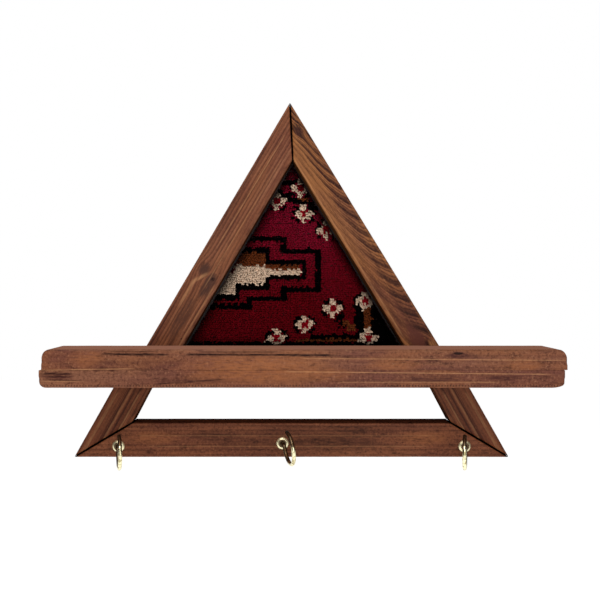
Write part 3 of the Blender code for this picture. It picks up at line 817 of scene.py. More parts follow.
shelf_look = {
    **SHELF_PINE,
    "heart": (-0.05, 0.03, 0.0),
    "ring": 0.0050,
    "ring_strength": 0.18,
    "fibre": 0.30,
    "fleck": 0.45,
    "rubbed": 0.2,
    "mottle": 0.8,
    "mottle_size": (430, 330),
    "blotches": 0.9,
    "bands": 0.2,
    "beads": (0.0022, 0.0011, DEEP_BROWN, 0.6),
    "spots": [
        (ORANGE, (0.185, 0.018), (0.075, 0.020), 0.55),
        (ORANGE, (0.040, 0.026), (0.020, 0.010), 0.4),
        (ORANGE, (0.250, 0.012), (0.030, 0.008), 0.4),
        (PLUM, (0.014, 0.0105), (0.018, 0.0050), 1.0),
        (PLUM, (0.345, 0.0080), (0.034, 0.0040), 0.8),
        (PLUM, (0.405, 0.0090), (0.024, 0.0035), 0.9),
        (PLUM, (0.366, 0.0290), (0.014, 0.0040), 1.1),
        (DEEP_BROWN, (0.366, 0.0305), (0.006, 0.0014), 1.2),
        (PLUM, (0.100, 0.0220), (0.030, 0.0080), 0.35),
        (PLUM, (0.135, 0.0060), (0.040, 0.0040), 0.6),
        (PLUM, (0.060, 0.0200), (0.024, 0.0060), 0.4),
        (ORANGE, (0.310, 0.0200), (0.030, 0.0060), 0.4),
        (ORANGE, (0.425, 0.0200), (0.020, 0.0060), 0.4),
    ],
    "streaks": [
        (DEEP_BROWN, 0.054, 0.110, 0.0300, 0.0012, -0.01, 1.0),
        (DEEP_BROWN, 0.060, 0.100, 0.0322, 0.0008, 0.0, 0.7),
        (DEEP_BROWN, 0.128, 0.255, 0.0296, 0.0011, -0.004, 1.0),
        (DEEP_BROWN, 0.140, 0.210, 0.0318, 0.0008, 0.0, 0.7),
        (DEEP_BROWN, 0.218, 0.262, 0.0284, 0.0007, 0.0, 0.7),
        (DEEP_BROWN, 0.100, 0.160, 0.0036, 0.0006, 0.07, 0.7),
        (DEEP_BROWN, 0.001, 0.027, 0.0128, 0.0010, 0.0, 0.7),
        (DEEP_BROWN, 0.006, 0.024, 0.0102, 0.0007, 0.02, 0.7),
        (DEEP_BROWN, 0.004, 0.036, 0.0072, 0.0006, -0.02, 0.6),
        (DEEP_BROWN, 0.014, 0.026, 0.0210, 0.0005, 0.05, 0.5),
        (STRAW, 0.000, 0.080, 0.0158, 0.0005, 0.016, 0.6),
        (STRAW, 0.000, 0.035, 0.0060, 0.0005, 0.0, 0.4),
        (STRAW, 0.215, 0.445, 0.0145, 0.0005, -0.010, 0.6),
        (STRAW, 0.230, 0.460, 0.0262, 0.0005, -0.008, 0.5),
        (STRAW, 0.262, 0.400, 0.0052, 0.0006, 0.0, 0.35),
    ],
}


def make_shelf_board(node, edges, drop, seed):
    low, high = edge_between(node, False, drop), edge_between(node, True)
    first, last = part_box(node)
    length, height = last.x - first.x, last.z - first.z
    shapes = [(SHELF_EDGE, 0.0, 0.0)] * 2
    mesh = board(node, low, high, length, height, first.y, last.y, edges, shapes, 0.0002, 0.0025)
    look = {**shelf_look, "seed": seed}
    start = (SHELF_LEFT, SHELF_BOTTOM)
    material = wood(f"pine_{node}", start, (1, 0), (0, 1), SHELF_HEIGHT, first.y, look)
    piece = link(f"{node}_wood", mesh, material, 40)
    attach(piece, "frame")
    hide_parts(node)
    describe(node, length, height, mesh)


make_shelf_board("shelf_upper_board", (SEAM_EDGE, SHELF_EDGE), seam_gap, 20.5)
make_shelf_board("shelf_lower_board", (SHELF_EDGE, SEAM_EDGE), 0.0, 23.8)

# %% [markdown]
# ## Rug panel
# A hand-knotted rug is a woven ground with rows of wool knots, each about two millimetres wide,
# and its pattern is drawn one knot at a time on squared paper. So the pattern here is written in
# knots too: stepped outlines as runs of squares and a small flower as rows of letters. The ground
# is a thin closed sheet, painted dark as the shade deep between the tufts, and Geometry Nodes set
# two tufts of wool on it for each knot, leaning down as pile does, with the knot's colour and its
# painted shade near the rails and the shelf carried along as an attribute.

# %% The rug's pattern, in knots
KNOT = 0.00208
PATTERN_MIDDLE, PATTERN_BASE = 0.0, -0.1869
WOOL = {
    "field": (122, 16, 38),
    "low_field": (100, 8, 18),
    "black": (4, 3, 4),
    "ivory": (222, 194, 168),
    "brown": (106, 52, 26),
    "red": (146, 14, 28),
}
LETTERS = {"K": "black", "I": "ivory", "R": "red"}
FLOWER = (
    "...KII.K...",
    ".KKKIIIKKK.",
    ".KK.III.KK.",
    "KIIIRRRIIIK",
    "KIIIRRRIIIK",
    ".IIIRRRII..",
    "KK.IIIII.K.",
    ".KK.II..KK.",
    "..K.II.KK..",
)
# Runs of blocks of one wool. A block is the first and last column and row that it fills, counted
# from the middle of the shelf's top, and a later block covers an earlier one.
BLOCKS = [
    # The large stepped medallion: fills, then its inner and its outer outline.
    ("brown", [(-25.5, -12.0, 36.0, 43.6), (-12.0, 4.4, 35.2, 38.0)]),
    ("ivory", [(-26.5, -12.0, 28.4, 37.4), (-12.0, 4.4, 32.2, 35.6), (-36.0, -25.6, 22.6, 33.6)]),
    ("black", [
        (-24.0, -10.0, 43.4, 45.8), (-12.2, -9.8, 38.0, 45.8), (-12.2, 7.0, 37.6, 39.9),
        (4.6, 7.0, 31.0, 39.9), (-10.8, 7.0, 30.6, 32.6), (-12.4, -9.9, 26.2, 32.0),
        (-24.6, -9.9, 26.2, 28.6), (-26.0, -23.6, 21.6, 28.6), (-36.0, -23.6, 21.4, 23.8),
        (-19.0, -2.4, 48.6, 51.0), (-4.6, -2.2, 43.2, 51.0), (-4.6, 13.6, 42.8, 45.2),
        (11.4, 13.8, 25.2, 45.2), (-3.0, 13.8, 25.2, 27.4), (-5.0, -2.4, 20.8, 28.4),
        (-20.0, -2.4, 21.0, 23.2), (-20.6, -18.2, 17.2, 23.2), (-38.0, -18.2, 17.2, 19.6),
    ]),
    # The lower right corner, with a brown stem between two flowers.
    ("black", [(31.0, 60.0, -4.0, 21.0)]),
    ("field", [(26.0, 31.0, 5.0, 22.0)]),
    ("black", [(29.5, 31.8, 8.0, 22.5)]),
    ("brown", [(34.2, 37.4, 6.0, 18.5)]),
    ("black", [(-60.0, 60.0, -4.0, 1.6)]),
    ("brown", [(2.0, 31.0, 1.8, 3.4)]),
    ("black", [(9.0, 33.0, 3.4, 5.4), (20.5, 24.5, 11.5, 14.5), (22.5, 25.5, 8.5, 11.5)]),
    ("brown", [(24.0, 27.0, 9.5, 12.0), (26.5, 30.0, 7.0, 9.6)]),
    # Diagonal bands across the top.
    ("black", [
        (-9.0, -4.0, 70.6, 73.2), (-5.0, 0.0, 68.4, 71.0), (-1.0, 4.0, 66.6, 69.0),
        (2.0, 14.0, 65.6, 67.6),
    ]),
    ("brown", [(3.0, 8.0, 67.6, 69.6)]),
    ("black", [(9.0, 20.0, 63.0, 67.0), (-4.0, 1.0, 75.0, 77.0), (6.0, 9.0, 71.6, 77.0)]),
]
# The middle column and row of each flower.
FLOWERS = [
    (-6.9, 3.3), (6.7, 10.0), (19.5, 17.4), (36.0, 3.9), (34.8, 20.9),
    (6.0, 61.4), (-6.4, 67.5), (4.6, 73.4), (16.6, 54.0),
]


def wool_at(column, row):
    """The name of the wool in a knot, from the last block or flower that covers it."""
    found = "field"
    for name, blocks in BLOCKS:
        if any(left <= column <= right and low <= row <= high for left, right, low, high in blocks):
            found = name
    tall, wide = len(FLOWER), len(FLOWER[0])
    for middle_column, middle_row in FLOWERS:
        letter_column = math.floor(column - middle_column + wide / 2)
        letter_row = math.floor(middle_row - row + tall / 2)
        if 0 <= letter_column < wide and 0 <= letter_row < tall:
            found = LETTERS.get(FLOWER[letter_row][letter_column], found)
    return found


# %% The rug's ground
rug_corners = outline("rug_panel", 1e-4)
rug_low, rug_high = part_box("rug_panel")
PILE_HEIGHT = 0.0042
GROUND_FRONT = rug_low.y + PILE_HEIGHT
print("rug", [round(v * 1000, 1) for v in rug_low], [round(v * 1000, 1) for v in rug_high])


def inside_by(point, corners):
    """How far a point is inside a polygon, the least over its edges."""
    gaps = []
    for index, corner in enumerate(corners):
        run = (corner - corners[index - 1]).normalized()
        away = point - corners[index - 1]
        gaps.append(run.x * away.y - run.y * away.x)
    return min(gaps)


def slab(name, corners, front, back, step):
    """A flat closed sheet with a fine grid of points on its front and back."""
    bm = bmesh.new()
    face = bm.faces.new([bm.verts.new((corner.x, front, corner.y)) for corner in corners])
    for axis in (0, 2):
        places = [corner[axis // 2] for corner in corners]
        count = int((max(places) - min(places)) / step)
        for index in range(1, count):
            where, normal = Vector((0, 0, 0)), Vector((0, 0, 0))
            where[axis] = min(places) + (max(places) - min(places)) * index / count
            normal[axis] = 1
            everything = bm.verts[:] + bm.edges[:] + bm.faces[:]
            bmesh.ops.bisect_plane(bm, geom=everything, plane_co=where, plane_no=normal)
    drawn = bmesh.ops.extrude_face_region(bm, geom=bm.faces[:])["geom"]
    moved = [item for item in drawn if isinstance(item, bmesh.types.BMVert)]
    bmesh.ops.translate(bm, verts=moved, vec=(0, back - front, 0))
    bmesh.ops.recalc_face_normals(bm, faces=bm.faces)
    mesh = bpy.data.meshes.new(name)
    bm.to_mesh(mesh)
    bm.free()
    return mesh


def shaded_woven_ground():
    """Dull cotton threads that cross, with wool between them, painted dark as the shade deep under the
    tufts.
    """
    paint = Painter("rug_ground")
    x, _, z = [paint.node("SeparateXYZ", {}, [paint.place()], output=axis) for axis in range(3)]
    warp = (x * (math.tau / KNOT * 2)).math("SINE") * 0.5 + 0.5
    weft = (z * (math.tau / KNOT * 2)).math("SINE") * 0.5 + 0.5
    dirt = paint.noise(paint.vector(x, 0.0, z), 3.0, 0.6, 90.0)
    # Painted shade: the ground's colours are dark because it lies deep under the pile.
    tone = paint.mix(colour(36, 10, 12), colour(70, 34, 30), warp * weft * dirt)
    return paint.finish(warp + weft, 0.0002, Base_Color=tone, Roughness=dirt * 0.1 + 0.88)


ground_mesh = slab("rug_ground", rug_corners, GROUND_FRONT, rug_high.y, 0.004)
rug_ground = link("rug_ground", ground_mesh, shaded_woven_ground())

# %% [markdown]
# ### Pile
# The tufts are placed on points, two for each knot. A point near the edge of the opening is in
# the rails' deep shade, so its tuft's colour is painted darker as shade. Geometry Nodes put a
# small tapered tuft on each point, turn it by a random amount that always comes out the same,
# and join all of them into one mesh.

# %% Points with wool colours and painted shade
rng = random.Random(11)
inner_edges = [rail_ends[name] for name in ("upper_left_rail", "upper_right_rail")]
RAIL_SHADE, SHELF_SHADE = (0.0015, 0.0085), (0.001, 0.008)
EDGE_MARGIN = 0.0007


def clear_of(gap, shade):
    """0 in full shade, 1 where a gap is wide enough for all the light."""
    first, width = shade
    return min(1.0, max(0.0, (gap - first) / width))


def shade_at(point):
    """Painted shade by the rails and the shelf, from 0 at the edge of the opening to 1."""
    shade = 1.0
    for (start, _), (end, _) in inner_edges:
        run = (flat(end) - flat(start)).normalized()
        away = point - flat(start)
        gap = abs(run.x * away.y - run.y * away.x)
        shade *= clear_of(gap, RAIL_SHADE) ** 0.8
    return shade * clear_of(point.y - PATTERN_BASE, SHELF_SHADE) ** 0.7


def knots_between(low, high, start):
    """The numbers of the knots from low to high, with one to spare at each end."""
    return range(int((low - start) / KNOT) - 1, int((high - start) / KNOT) + 2)


def pile_points():
    """One point for each tuft, with its wool's colour darkened by painted shade near the edges."""
    places, wool_and_shade_colours = [], []
    for row in knots_between(rug_low.z, rug_high.z, PATTERN_BASE):
        for column in knots_between(rug_low.x, rug_high.x, PATTERN_MIDDLE):
            for half in (0.25, 0.75):
                x = PATTERN_MIDDLE + (column + half + rng.uniform(-0.12, 0.12)) * KNOT
                z = PATTERN_BASE + (row + 0.5 + rng.uniform(-0.18, 0.18)) * KNOT
                point = Vector((x, z))
                if inside_by(point, rug_corners) < EDGE_MARGIN:
                    continue
                wiggle = noise.noise((column * 0.9, row * 0.9, 4.0)) * 0.6
                name = wool_at(column + 0.5 + wiggle * 0.5, row + 0.5 + wiggle)
                worn = rng.uniform(0.92, 1.08) * (1 + 0.28 * noise.noise((x * 480, z * 75, 1.0)))
                # Each tuft is dimmed by wear and by painted shade from the rails and the shelf.
                wear_and_shade = worn * (0.04 + 0.96 * shade_at(point))
                shade = WOOL[name]
                if name == "field":
                    # The field's red is darker towards the bottom.
                    up_the_field = (row - 18) / 40 + 0.25 * noise.noise((x * 25, z * 25, 7.0))
                    up_the_field = min(1.0, max(0.0, up_the_field))
                    shade = [low + (high - low) * up_the_field for low, high in zip(WOOL["low_field"], shade)]
                places.append((x, GROUND_FRONT + 0.0002, z))
                wool_and_shade_colours.append([part * wear_and_shade for part in colour(*shade)[:3]] + [1.0])
    mesh = bpy.data.meshes.new("rug_pile")
    mesh.from_pydata(places, [], [])
    yarn_and_shade = mesh.attributes.new("yarn_and_shade", "FLOAT_COLOR", "POINT")
    yarn_and_shade.data.foreach_set("color", np.array(wool_and_shade_colours, np.float32).ravel())
    return mesh


pile_mesh = pile_points()
print("tufts:", len(pile_mesh.vertices))

# %% Geometry Nodes helpers
class Tree:
    """A Geometry Nodes tree with a geometry input and named sizes."""

    def __init__(self, name, sizes):
        self.group = bpy.data.node_groups.new(name, "GeometryNodeTree")
        sockets = self.group.interface
        sockets.new_socket("Geometry", in_out="INPUT", socket_type="NodeSocketGeometry")
        for label in sizes:
            sockets.new_socket(label, in_out="INPUT", socket_type="NodeSocketFloat")
        sockets.new_socket("Geometry", in_out="OUTPUT", socket_type="NodeSocketGeometry")
        self.given = self.group.nodes.new("NodeGroupInput").outputs
        self.result = self.group.nodes.new("NodeGroupOutput").inputs[0]

    def add(self, kind, settings=None, inputs=None):
        """Any geometry node: its settings come first, then the numbers or links of its sockets."""
        node = self.group.nodes.new(kind)
        for key, value in (settings or {}).items():
            setattr(node, key, value)
        for key, value in (inputs or {}).items():
            if isinstance(value, bpy.types.NodeSocket):
                self.group.links.new(value, node.inputs[key])
            else:
                node.inputs[key].default_value = value
        return node

    def math(self, operation, first, second=0.0):
        return self.add("ShaderNodeMath", {"operation": operation}, {0: first, 1: second}).outputs[0]

    def vector(self, x=0.0, y=0.0, z=0.0):
        return self.add("ShaderNodeCombineXYZ", {}, {0: x, 1: y, 2: z}).outputs[0]

    def shifted(self, geometry, along_z):
        inputs = {"Geometry": geometry, "Translation": self.vector(z=along_z)}
        return self.add("GeometryNodeTransform", {}, inputs).outputs[0]

    def together(self, *parts):
        joined = self.add("GeometryNodeJoinGeometry")
        for part in parts:
            self.group.links.new(part, joined.inputs[0])
        return joined.outputs[0]

    def finish(self, geometry, material):
        inputs = {"Geometry": geometry, "Material": material}
        painted = self.add("GeometryNodeSetMaterial", {}, inputs)
        self.group.links.new(painted.outputs[0], self.result)


def grown(obj, tree, sizes):
    """Runs a tree on an object with these sizes and leaves the result as its plain mesh."""
    modifier = obj.modifiers.new(tree.group.name, "NODES")
    modifier.node_group = tree.group
    for item in tree.group.interface.items_tree:
        if item.in_out == "INPUT" and item.name in sizes:
            modifier[item.identifier] = float(sizes[item.name])
    bpy.context.view_layer.update()
    evaluated = obj.evaluated_get(bpy.context.evaluated_depsgraph_get())
    mesh = bpy.data.meshes.new_from_object(evaluated)
    obj.modifiers.remove(modifier)
    mesh.name = obj.name
    obj.data = mesh
    return obj


# %% The pile
def wool():
    """Soft wool: the knot's colour with its painted shade, a little uneven, rough and without gloss."""
    paint = Painter("rug_wool")
    yarn_and_shade = paint.node("Attribute", {"attribute_name": "yarn_and_shade"}, output="Color")
    strands = paint.noise(paint.place(), 2.0, 0.6, 1400.0)
    dimmed = paint.mix(yarn_and_shade, colour(150, 150, 150), 1.0, "MULTIPLY")
    tone = paint.mix(yarn_and_shade, dimmed, strands.step(0.4, 0.7))
    paint.finish(strands, 0.0002, Base_Color=tone, Roughness=strands * 0.1 + 0.85)
    paint.surface.inputs["Specular IOR Level"].default_value = 0.0
    return paint.material


wool_material = wool()
pile_tree = Tree("knotted_pile", ("Tuft width", "Tuft height", "Lean", "Spread"))
given = pile_tree.given
TUFT_TIP = 0.00072
TURN_SEED, HEIGHT_SEED = 5, 9
tuft = pile_tree.add(
    "GeometryNodeMeshCone",
    {"fill_type": "NGON"},
    {
        "Vertices": 4,
        "Side Segments": 2,
        "Fill Segments": 1,
        "Radius Top": TUFT_TIP,
        "Radius Bottom": given["Tuft width"],
        "Depth": given["Tuft height"],
    },
)
least_side = pile_tree.math("MULTIPLY", given["Spread"], -1.0)
least_lean = pile_tree.math("SUBTRACT", given["Lean"], given["Spread"])
most_lean = pile_tree.math("ADD", given["Lean"], given["Spread"])
turned = pile_tree.add(
    "FunctionNodeRandomValue",
    {"data_type": "FLOAT_VECTOR"},
    {
        "Min": pile_tree.vector(least_lean, least_side, least_side),
        "Max": pile_tree.vector(most_lean, given["Spread"], given["Spread"]),
        "Seed": TURN_SEED,
    },
)
grow = {2: 0.82, 3: 1.06, "Seed": HEIGHT_SEED}
taller = pile_tree.add("FunctionNodeRandomValue", {"data_type": "FLOAT"}, grow)
planted = pile_tree.add(
    "GeometryNodeInstanceOnPoints",
    {},
    {
        "Points": given["Geometry"],
        "Instance": tuft.outputs["Mesh"],
        "Rotation": turned.outputs["Value"],
        "Scale": taller.outputs[1],
    },
)
real = pile_tree.add("GeometryNodeRealizeInstances", {}, {"Geometry": planted.outputs[0]})
pile_tree.finish(real.outputs[0], wool_material)

pile = link("rug_pile", pile_mesh)
tuft_sizes = {
    "Tuft width": 0.00100,
    "Tuft height": PILE_HEIGHT,
    "Lean": math.radians(112),
    "Spread": math.radians(12),
}
grown(pile, pile_tree, tuft_sizes)
print("pile:", len(pile.data.polygons), "faces", [a.name for a in pile.data.attributes])
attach(rug_ground, "frame")
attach(pile, "frame")
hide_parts("rug_panel")
rug_area = sum(
    corner.x * rug_corners[index - 1].y - rug_corners[index - 1].x * corner.y
    for index, corner in enumerate(rug_corners)
)
rug_area = abs(rug_area) / 2

# %% [markdown]
# ## Backing board
# Behind the rug is a thin hardboard panel, nailed to the backs of the rails. Its corners are
# nearly sharp, as a saw leaves them, and its back is even, brown and full of short fibres. The
# face towards the rug is painted nearly black as shade, so that nothing pale shows in the hair's
# breadth round it.

# %% Backing board
BACKING_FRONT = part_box("backing_board")[0].y


def hardboard():
    paint = Painter("hardboard")
    place = paint.place()
    fibres = paint.noise(place, 4.0, 0.75, 900.0)
    clouds = paint.noise(place, 2.0, 0.5, 35.0)
    tone = paint.mix(colour(128, 92, 62), colour(160, 122, 86), clouds.step(0.3, 0.7))
    tone = paint.mix(tone, colour(84, 56, 36), fibres.step(0.52, 0.7) * 0.7)
    # Painted shade: the face towards the rug is near black, as the shade in the gap round the rug.
    out = paint.node("SeparateXYZ", {}, [place], output=1)
    tone = paint.mix(tone, STAIN_AND_SHADE_BLACK, out.step(BACKING_FRONT, BACKING_FRONT + 0.0006, 1, 0))
    return paint.finish(fibres, 0.00008, Base_Color=tone, Roughness=fibres * 0.2 + 0.55)


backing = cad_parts["backing_board"].data
backing.materials.clear()
backing.materials.append(hardboard())

# %% [markdown]
# ## Cup hooks
# Each hook is one brass wire: a screw in the wood, a small neck, and three quarters of a ring
# that ends in a rounded tip. A pressed brass cup covers the hole. The wire is a circle swept along
# the same path as the plain model's, with more steps, and the cup is a profile turned round the
# screw. Both ride on the hook's own body, so they turn when the hook is turned.

# %% Brass
FRAME_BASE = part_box("bottom_rail")[0].z
BRIGHT_BRASS, OLIVE_BRASS, DARK_REFLECTION_BRASS = colour(236, 228, 188), colour(128, 112, 66), colour(64, 36, 17)
CUP_CROWN = 0.0024
# How near the wood and how high up the wire gets its painted dark reflection.
DARK_REFLECTION_OUT, DARK_REFLECTION_UP = (0.016, 0.022), (0.0178, 0.0205)


def brass(name, roughness, is_cup):
    """Old brass with olive mottling, and painted dark reflection on the wire near the wood, on its top,
    and on the cup's crown.
    """
    paint = Painter(name)
    place = paint.place()
    out = (paint.node("SeparateXYZ", {}, [place], output=1) * -1) + FRAME_FRONT
    up = paint.node("SeparateXYZ", {}, [place], output=2) - FRAME_BASE
    bloom = paint.noise(place, 3.0, 0.6, 420.0)
    tone = paint.mix(BRIGHT_BRASS, OLIVE_BRASS, bloom.step(0.42, 0.62) * (0.25 if is_cup else 0.8))
    # Painted dark reflection: the cup's crown and the wire near the wood and at its top turn dark brown,
    # as if reflecting the wood.
    if is_cup:
        dark = out.step(CUP_CROWN - 0.0003, CUP_CROWN)
    else:
        behind = out.step(*DARK_REFLECTION_OUT, 1, 0)
        above = up.step(*DARK_REFLECTION_UP)
        dark = behind + above - behind * above
    dark = (dark + (bloom - 0.5) * 0.5).step(0.1, 0.8)
    tone = paint.mix(tone, DARK_REFLECTION_BRASS, dark * 0.92)
    return paint.finish(bloom, 0.00004, Base_Color=tone, Roughness=dark * 0.1 + roughness, Metallic=1.0)


brass_wire = brass("brass_wire", 0.26, False)
brass_cup = brass("brass_cup", 0.42, True)

# %% A circle swept along a path
def swept(name, path, radii, sides=20):
    """A closed tube round a path, with rounded ends where the radii grow from nearly nothing."""
    path = [Vector(point) for point in path]
    count = len(path)
    forward = [(path[min(i + 1, count - 1)] - path[max(i - 1, 0)]).normalized() for i in range(count)]
    across = forward[0].orthogonal().normalized()
    points, faces = [], []
    for index, (centre, ahead, radius) in enumerate(zip(path, forward, radii)):
        across = (across - ahead * across.dot(ahead)).normalized()
        other = ahead.cross(across)
        for side in range(sides):
            turn = math.tau * side / sides
            points.append(centre + (across * math.cos(turn) + other * math.sin(turn)) * radius)
        if index:
            first = (index - 1) * sides
            for side in range(sides):
                beside = (side + 1) % sides
                faces.append((first + side, first + beside, first + sides + beside, first + sides + side))
    faces.append(tuple(range(sides))[::-1])
    faces.append(tuple(range(len(points) - sides, len(points))))
    mesh = bpy.data.meshes.new(name)
    mesh.from_pydata([tuple(point) for point in points], [], faces)
    return mesh


def lathe(name, profile, sides=48):
    """A closed profile of (radius, distance from the wood) turned round the Y axis."""
    bm = bmesh.new()
    rings = []
    for radius, out in profile:
        turns = [math.tau * side / sides for side in range(sides)]
        rings.append([bm.verts.new((radius * math.cos(t), -out, radius * math.sin(t))) for t in turns])
    for ring, following in zip(rings, rings[1:] + rings[:1]):
        for side in range(sides):
            beside = (side + 1) % sides
            bm.faces.new((ring[side], ring[beside], following[beside], following[side]))
    bmesh.ops.recalc_face_normals(bm, faces=bm.faces)
    mesh = bpy.data.meshes.new(name)
    bm.to_mesh(mesh)
    bm.free()
    return mesh


# %% The hooks
WIRE = 0.0018
RING, RING_OUT = 0.0143, 0.0234
NECK, BEND_START, SCREW = 0.003, 0.0035, 0.014
TIP_REACH, NECK_STEPS, RING_STEPS = 0.0018, 10, 72


def hook_path(bend):
    """The wire's middle line from the screw's tip to the hook's tip, and the radius at each point."""
    neck_out = RING_OUT - math.sqrt(RING * RING + 2 * RING * NECK)
    swing = math.asin(NECK / (RING + NECK))
    line = [(-SCREW, 0.0), (-SCREW + 3 * WIRE, 0.0)]
    radii = [WIRE * 0.15, WIRE]
    for share in range(1, 9):
        line.append((-SCREW + 3 * WIRE + (SCREW - 3 * WIRE + BEND_START) * share / 8, 0.0))
    for step in range(NECK_STEPS):
        angle = math.pi / 2 - (math.pi / 2 - swing) * step / NECK_STEPS
        line.append((neck_out + NECK * math.cos(angle), NECK * math.sin(angle) - NECK))
    for step in range(RING_STEPS + 1):
        angle = math.pi + swing + (1.5 * math.pi - swing) * step / RING_STEPS
        line.append((RING_OUT + RING * math.cos(angle), RING * math.sin(angle)))
    radii += [WIRE] * (len(line) - len(radii))
    for share in (0.4, 0.7, 0.9, 1.0):
        line.append((RING_OUT - TIP_REACH * share, RING))
        radii.append(WIRE * math.sqrt(1 - (share * 0.985) ** 2))
    points = []
    for out, up in line:
        beyond = max(0.0, out - BEND_START)
        points.append((beyond * math.sin(bend), -min(out, BEND_START) - beyond * math.cos(bend), up))
    return points, radii


# The cup's outside from its hole to its rim, then its inside back to the hole.
CUP_PROFILE = [
    (0.0020, 0.00230), (0.0022, 0.00245), (0.0026, 0.00252), (0.0030, 0.00250), (0.0036, 0.00236),
    (0.0042, 0.00210), (0.0047, 0.00180), (0.0051, 0.00148), (0.0055, 0.00108), (0.0058, 0.00070),
    (0.0059, 0.00045), (0.0059, 0.0003), (0.0052, 0.0003), (0.0048, 0.0009), (0.0042, 0.0015),
    (0.0034, 0.0019), (0.0028, 0.0019), (0.0020, 0.0018),
]
HOOKS = {
    "left": (math.radians(18), 0.0),
    "centre": (math.radians(16.5), math.radians(-7)),
    "right": (math.radians(-18), 0.0),
}
for side, (bend, turn) in HOOKS.items():
    cup_low, cup_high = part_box(f"hook_cup_{side}")
    middle = (cup_low + cup_high) / 2
    middle.y = FRAME_FRONT
    seat = Matrix.Translation(middle) @ Matrix.Rotation(turn, 4, "Y")
    wire_mesh = swept(f"hook_{side}_wire", *hook_path(bend))
    cup_mesh = lathe(f"hook_{side}_cup", CUP_PROFILE)
    for mesh, material, node in ((wire_mesh, brass_wire, "hook_wire"), (cup_mesh, brass_cup, "hook_cup")):
        mesh.transform(seat)
        piece = link(f"{mesh.name}_brass", mesh, material, 50)
        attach(piece, f"hook_{side}")
        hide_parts(f"{node}_{side}")
    print("hook", side, "at", [round(part * 1000, 1) for part in middle])

# %% [markdown]
# ## Fixings at the back
# Screws, nails, corrugated fasteners and the sawtooth hanger are plated or bright steel. In the
# plain model they lie a hair below the rails' back faces, so that no two pieces touch. The real
# ones were driven until they stood just proud. A corrugated fastener is a flat grid of points
# that Geometry Nodes lift into waves and thicken, and a screw is a shank with a thread wound
# round it: both trees have named sizes, so that one tree makes every fastener of its kind.

# %% Steel
def steel(name, light, dull, roughness):
    """Plated steel with cloudy dulling and fine scratches."""
    paint = Painter(name)
    clouds = paint.noise(paint.place(), 3.0, 0.6, 260.0).step(0.35, 0.7)
    tone = paint.mix(light, dull, clouds)
    scratches = paint.noise(paint.place(), 2.0, 0.8, 2200.0)
    rough = clouds * 0.15 + roughness
    return paint.finish(scratches, 0.00003, Base_Color=tone, Roughness=rough, Metallic=1.0)


screw_steel = steel("plated_screw", colour(212, 190, 130), colour(160, 138, 90), 0.28)
bright_steel = steel("bright_steel", colour(170, 172, 176), colour(112, 112, 114), 0.35)
nail_steel = steel("nail_steel", colour(186, 188, 190), colour(130, 130, 132), 0.3)
hanger_steel = steel("plated_hanger", colour(204, 194, 160), colour(150, 140, 108), 0.3)

# %% Corrugated fasteners
PROUD, STRIP_SHEET = 0.0002, 0.0006
strip_tree = Tree("corrugated_strip", ("Length", "Depth", "Pitch", "Wave", "Sheet"))
given = strip_tree.given
flat_grid = {"Size X": given["Length"], "Size Y": given["Depth"], "Vertices X": 61, "Vertices Y": 2}
sheet_grid = strip_tree.add("GeometryNodeMeshGrid", {}, flat_grid)
where = strip_tree.add("GeometryNodeInputPosition").outputs[0]
along_strip = strip_tree.add("ShaderNodeSeparateXYZ", {}, {0: where}).outputs[0]
turns = strip_tree.math("DIVIDE", along_strip, given["Pitch"])
swing = strip_tree.math("SINE", strip_tree.math("MULTIPLY", turns, math.tau))
lift = strip_tree.vector(z=strip_tree.math("MULTIPLY", swing, given["Wave"]))
raised = {"Geometry": sheet_grid.outputs["Mesh"], "Offset": lift}
wavy = strip_tree.add("GeometryNodeSetPosition", {}, raised).outputs[0]
thicken = {"Mesh": wavy, "Offset Scale": given["Sheet"], "Individual": False}
thick = strip_tree.add("GeometryNodeExtrudeMesh", {"mode": "FACES"}, thicken).outputs["Mesh"]
under = strip_tree.add("GeometryNodeFlipFaces", {}, {"Mesh": wavy}).outputs[0]
weld = {"Geometry": strip_tree.together(thick, under), "Distance": 1e-6}
closed = strip_tree.add("GeometryNodeMergeByDistance", {}, weld)
strip_tree.finish(closed.outputs[0], bright_steel)


def run_of(node):
    """The middle, length and direction of a long thin plain piece seen from the front."""
    points = np.array([(v.co.x, v.co.z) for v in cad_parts[node].data.vertices])
    low, high = points.min(axis=0), points.max(axis=0)
    middle = (low + high) / 2
    along = np.linalg.svd(points - points.mean(axis=0), full_matrices=False)[2][0]
    reach = (points - middle) @ along
    return middle, reach.max() - reach.min(), along


corrugated = [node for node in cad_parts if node.startswith("corner_fastener")]
for node in corrugated:
    middle, length, along = run_of(node)
    low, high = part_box(node)
    depth = high.y - low.y
    strip = link(f"{node}_steel", bpy.data.meshes.new(node))
    sizes = {"Length": length - 0.0003, "Depth": depth, "Pitch": 0.005, "Wave": 0.0010}
    sizes["Sheet"] = STRIP_SHEET
    grown(strip, strip_tree, sizes)
    across = Vector((-along[1], 0, along[0]))
    axes = Matrix((Vector((along[0], 0, along[1])), Vector((0, 1, 0)), across)).transposed().to_4x4()
    centre = Vector((middle[0], FRAME_BACK - depth / 2 + PROUD, middle[1]))
    centre -= across * (STRIP_SHEET / 2)
    strip.data.transform(Matrix.Translation(centre) @ axes)
    if axes.determinant() < 0:
        strip.data.flip_normals()
    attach(strip, "frame")
    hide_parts(node)
print("corrugated fasteners:", len(corrugated), "of", len(strip.data.polygons), "faces")

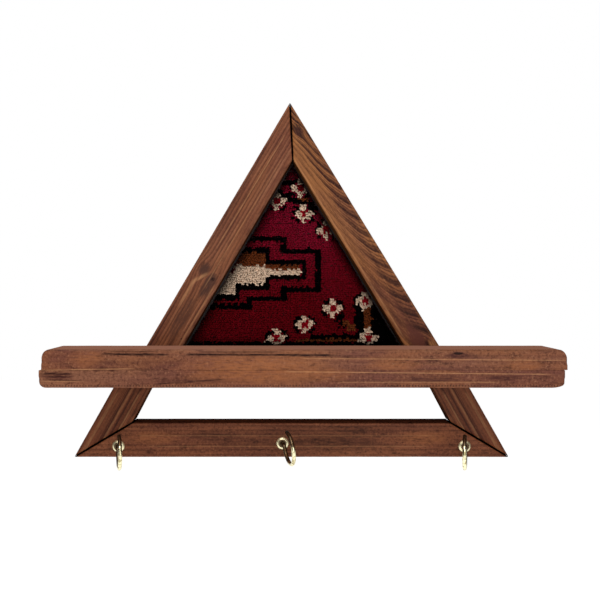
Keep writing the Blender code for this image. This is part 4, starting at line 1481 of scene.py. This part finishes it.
# %% Shelf screws
screw_tree = Tree("wood_screw", ("Length", "Core", "Thread", "Turns", "Head", "Rise"))
given = screw_tree.given
thread_start = screw_tree.math("MULTIPLY", given["Length"], 0.30)
thread_length = screw_tree.math("MULTIPLY", given["Length"], 0.66)
half_length = screw_tree.math("MULTIPLY", given["Length"], 0.5)
helix = screw_tree.add(
    "GeometryNodeCurveSpiral",
    {},
    {
        "Resolution": 14,
        "Rotations": given["Turns"],
        "Start Radius": given["Core"],
        "End Radius": given["Core"],
        "Height": thread_length,
    },
)
section = {"Resolution": 3, "Radius": given["Thread"]}
ridge = screw_tree.add("GeometryNodeCurvePrimitiveCircle", {}, section)
wound = {"Curve": helix.outputs[0], "Profile Curve": ridge.outputs[0], "Fill Caps": True}
thread = screw_tree.add("GeometryNodeCurveToMesh", {}, wound)
rod = {"Vertices": 16, "Radius": given["Core"], "Depth": given["Length"]}
shank = screw_tree.add("GeometryNodeMeshCylinder", {"fill_type": "NGON"}, rod)
taper = {
    "Vertices": 32,
    "Radius Top": given["Core"],
    "Radius Bottom": given["Head"],
    "Depth": given["Rise"],
}
cone = screw_tree.add("GeometryNodeMeshCone", {"fill_type": "NGON"}, taper)
uncut = {"Mesh 1": cone.outputs["Mesh"]}
recessed = screw_tree.add("GeometryNodeMeshBoolean", {"operation": "DIFFERENCE"}, uncut)
RECESS_SPAN, RECESS_WIDTH, RECESS_DEPTH = 0.0050, 0.0009, 0.0026
for size in ((RECESS_SPAN, RECESS_WIDTH, RECESS_DEPTH), (RECESS_WIDTH, RECESS_SPAN, RECESS_DEPTH)):
    bar = screw_tree.add("GeometryNodeMeshCube", {}, {"Size": size})
    screw_tree.group.links.new(bar.outputs["Mesh"], recessed.inputs["Mesh 2"])
whole_screw = screw_tree.together(
    screw_tree.shifted(thread.outputs[0], thread_start),
    screw_tree.shifted(shank.outputs["Mesh"], half_length),
    recessed.outputs["Mesh"],
)
screw_tree.finish(whole_screw, screw_steel)

screws = [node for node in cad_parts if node.startswith("shelf_screw")]
for number, node in enumerate(screws):
    low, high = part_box(node)
    screw = link(f"{node}_steel", bpy.data.meshes.new(node))
    length = high.y - low.y
    sizes = {
        "Length": length - 0.001,
        "Core": 0.0014,
        "Thread": 0.0006,
        "Turns": 14,
        "Head": (high.x - low.x) / 2,
        "Rise": 0.0028,
    }
    grown(screw, screw_tree, sizes)
    head = Vector(((low.x + high.x) / 2, FRAME_BACK + PROUD / 2, (low.z + high.z) / 2))
    into_wood = Matrix.Rotation(math.radians(90), 4, "X") @ Matrix.Rotation(0.5 + number, 4, "Z")
    screw.data.transform(Matrix.Translation(head) @ into_wood)
    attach(screw, "frame")
    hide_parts(node)
print("shelf screws:", len(screws), "of", len(screw.data.polygons), "faces")

# %% Nails and the hanger keep their plain shape
kept_shapes = {"backing_nail": nail_steel, "hanger_nail": nail_steel, "hanger": hanger_steel}
for node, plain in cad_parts.items():
    kind = max((key for key in kept_shapes if node.startswith(key)), key=len, default=None)
    if kind is not None:
        plain.data.materials.clear()
        plain.data.materials.append(kept_shapes[kind])
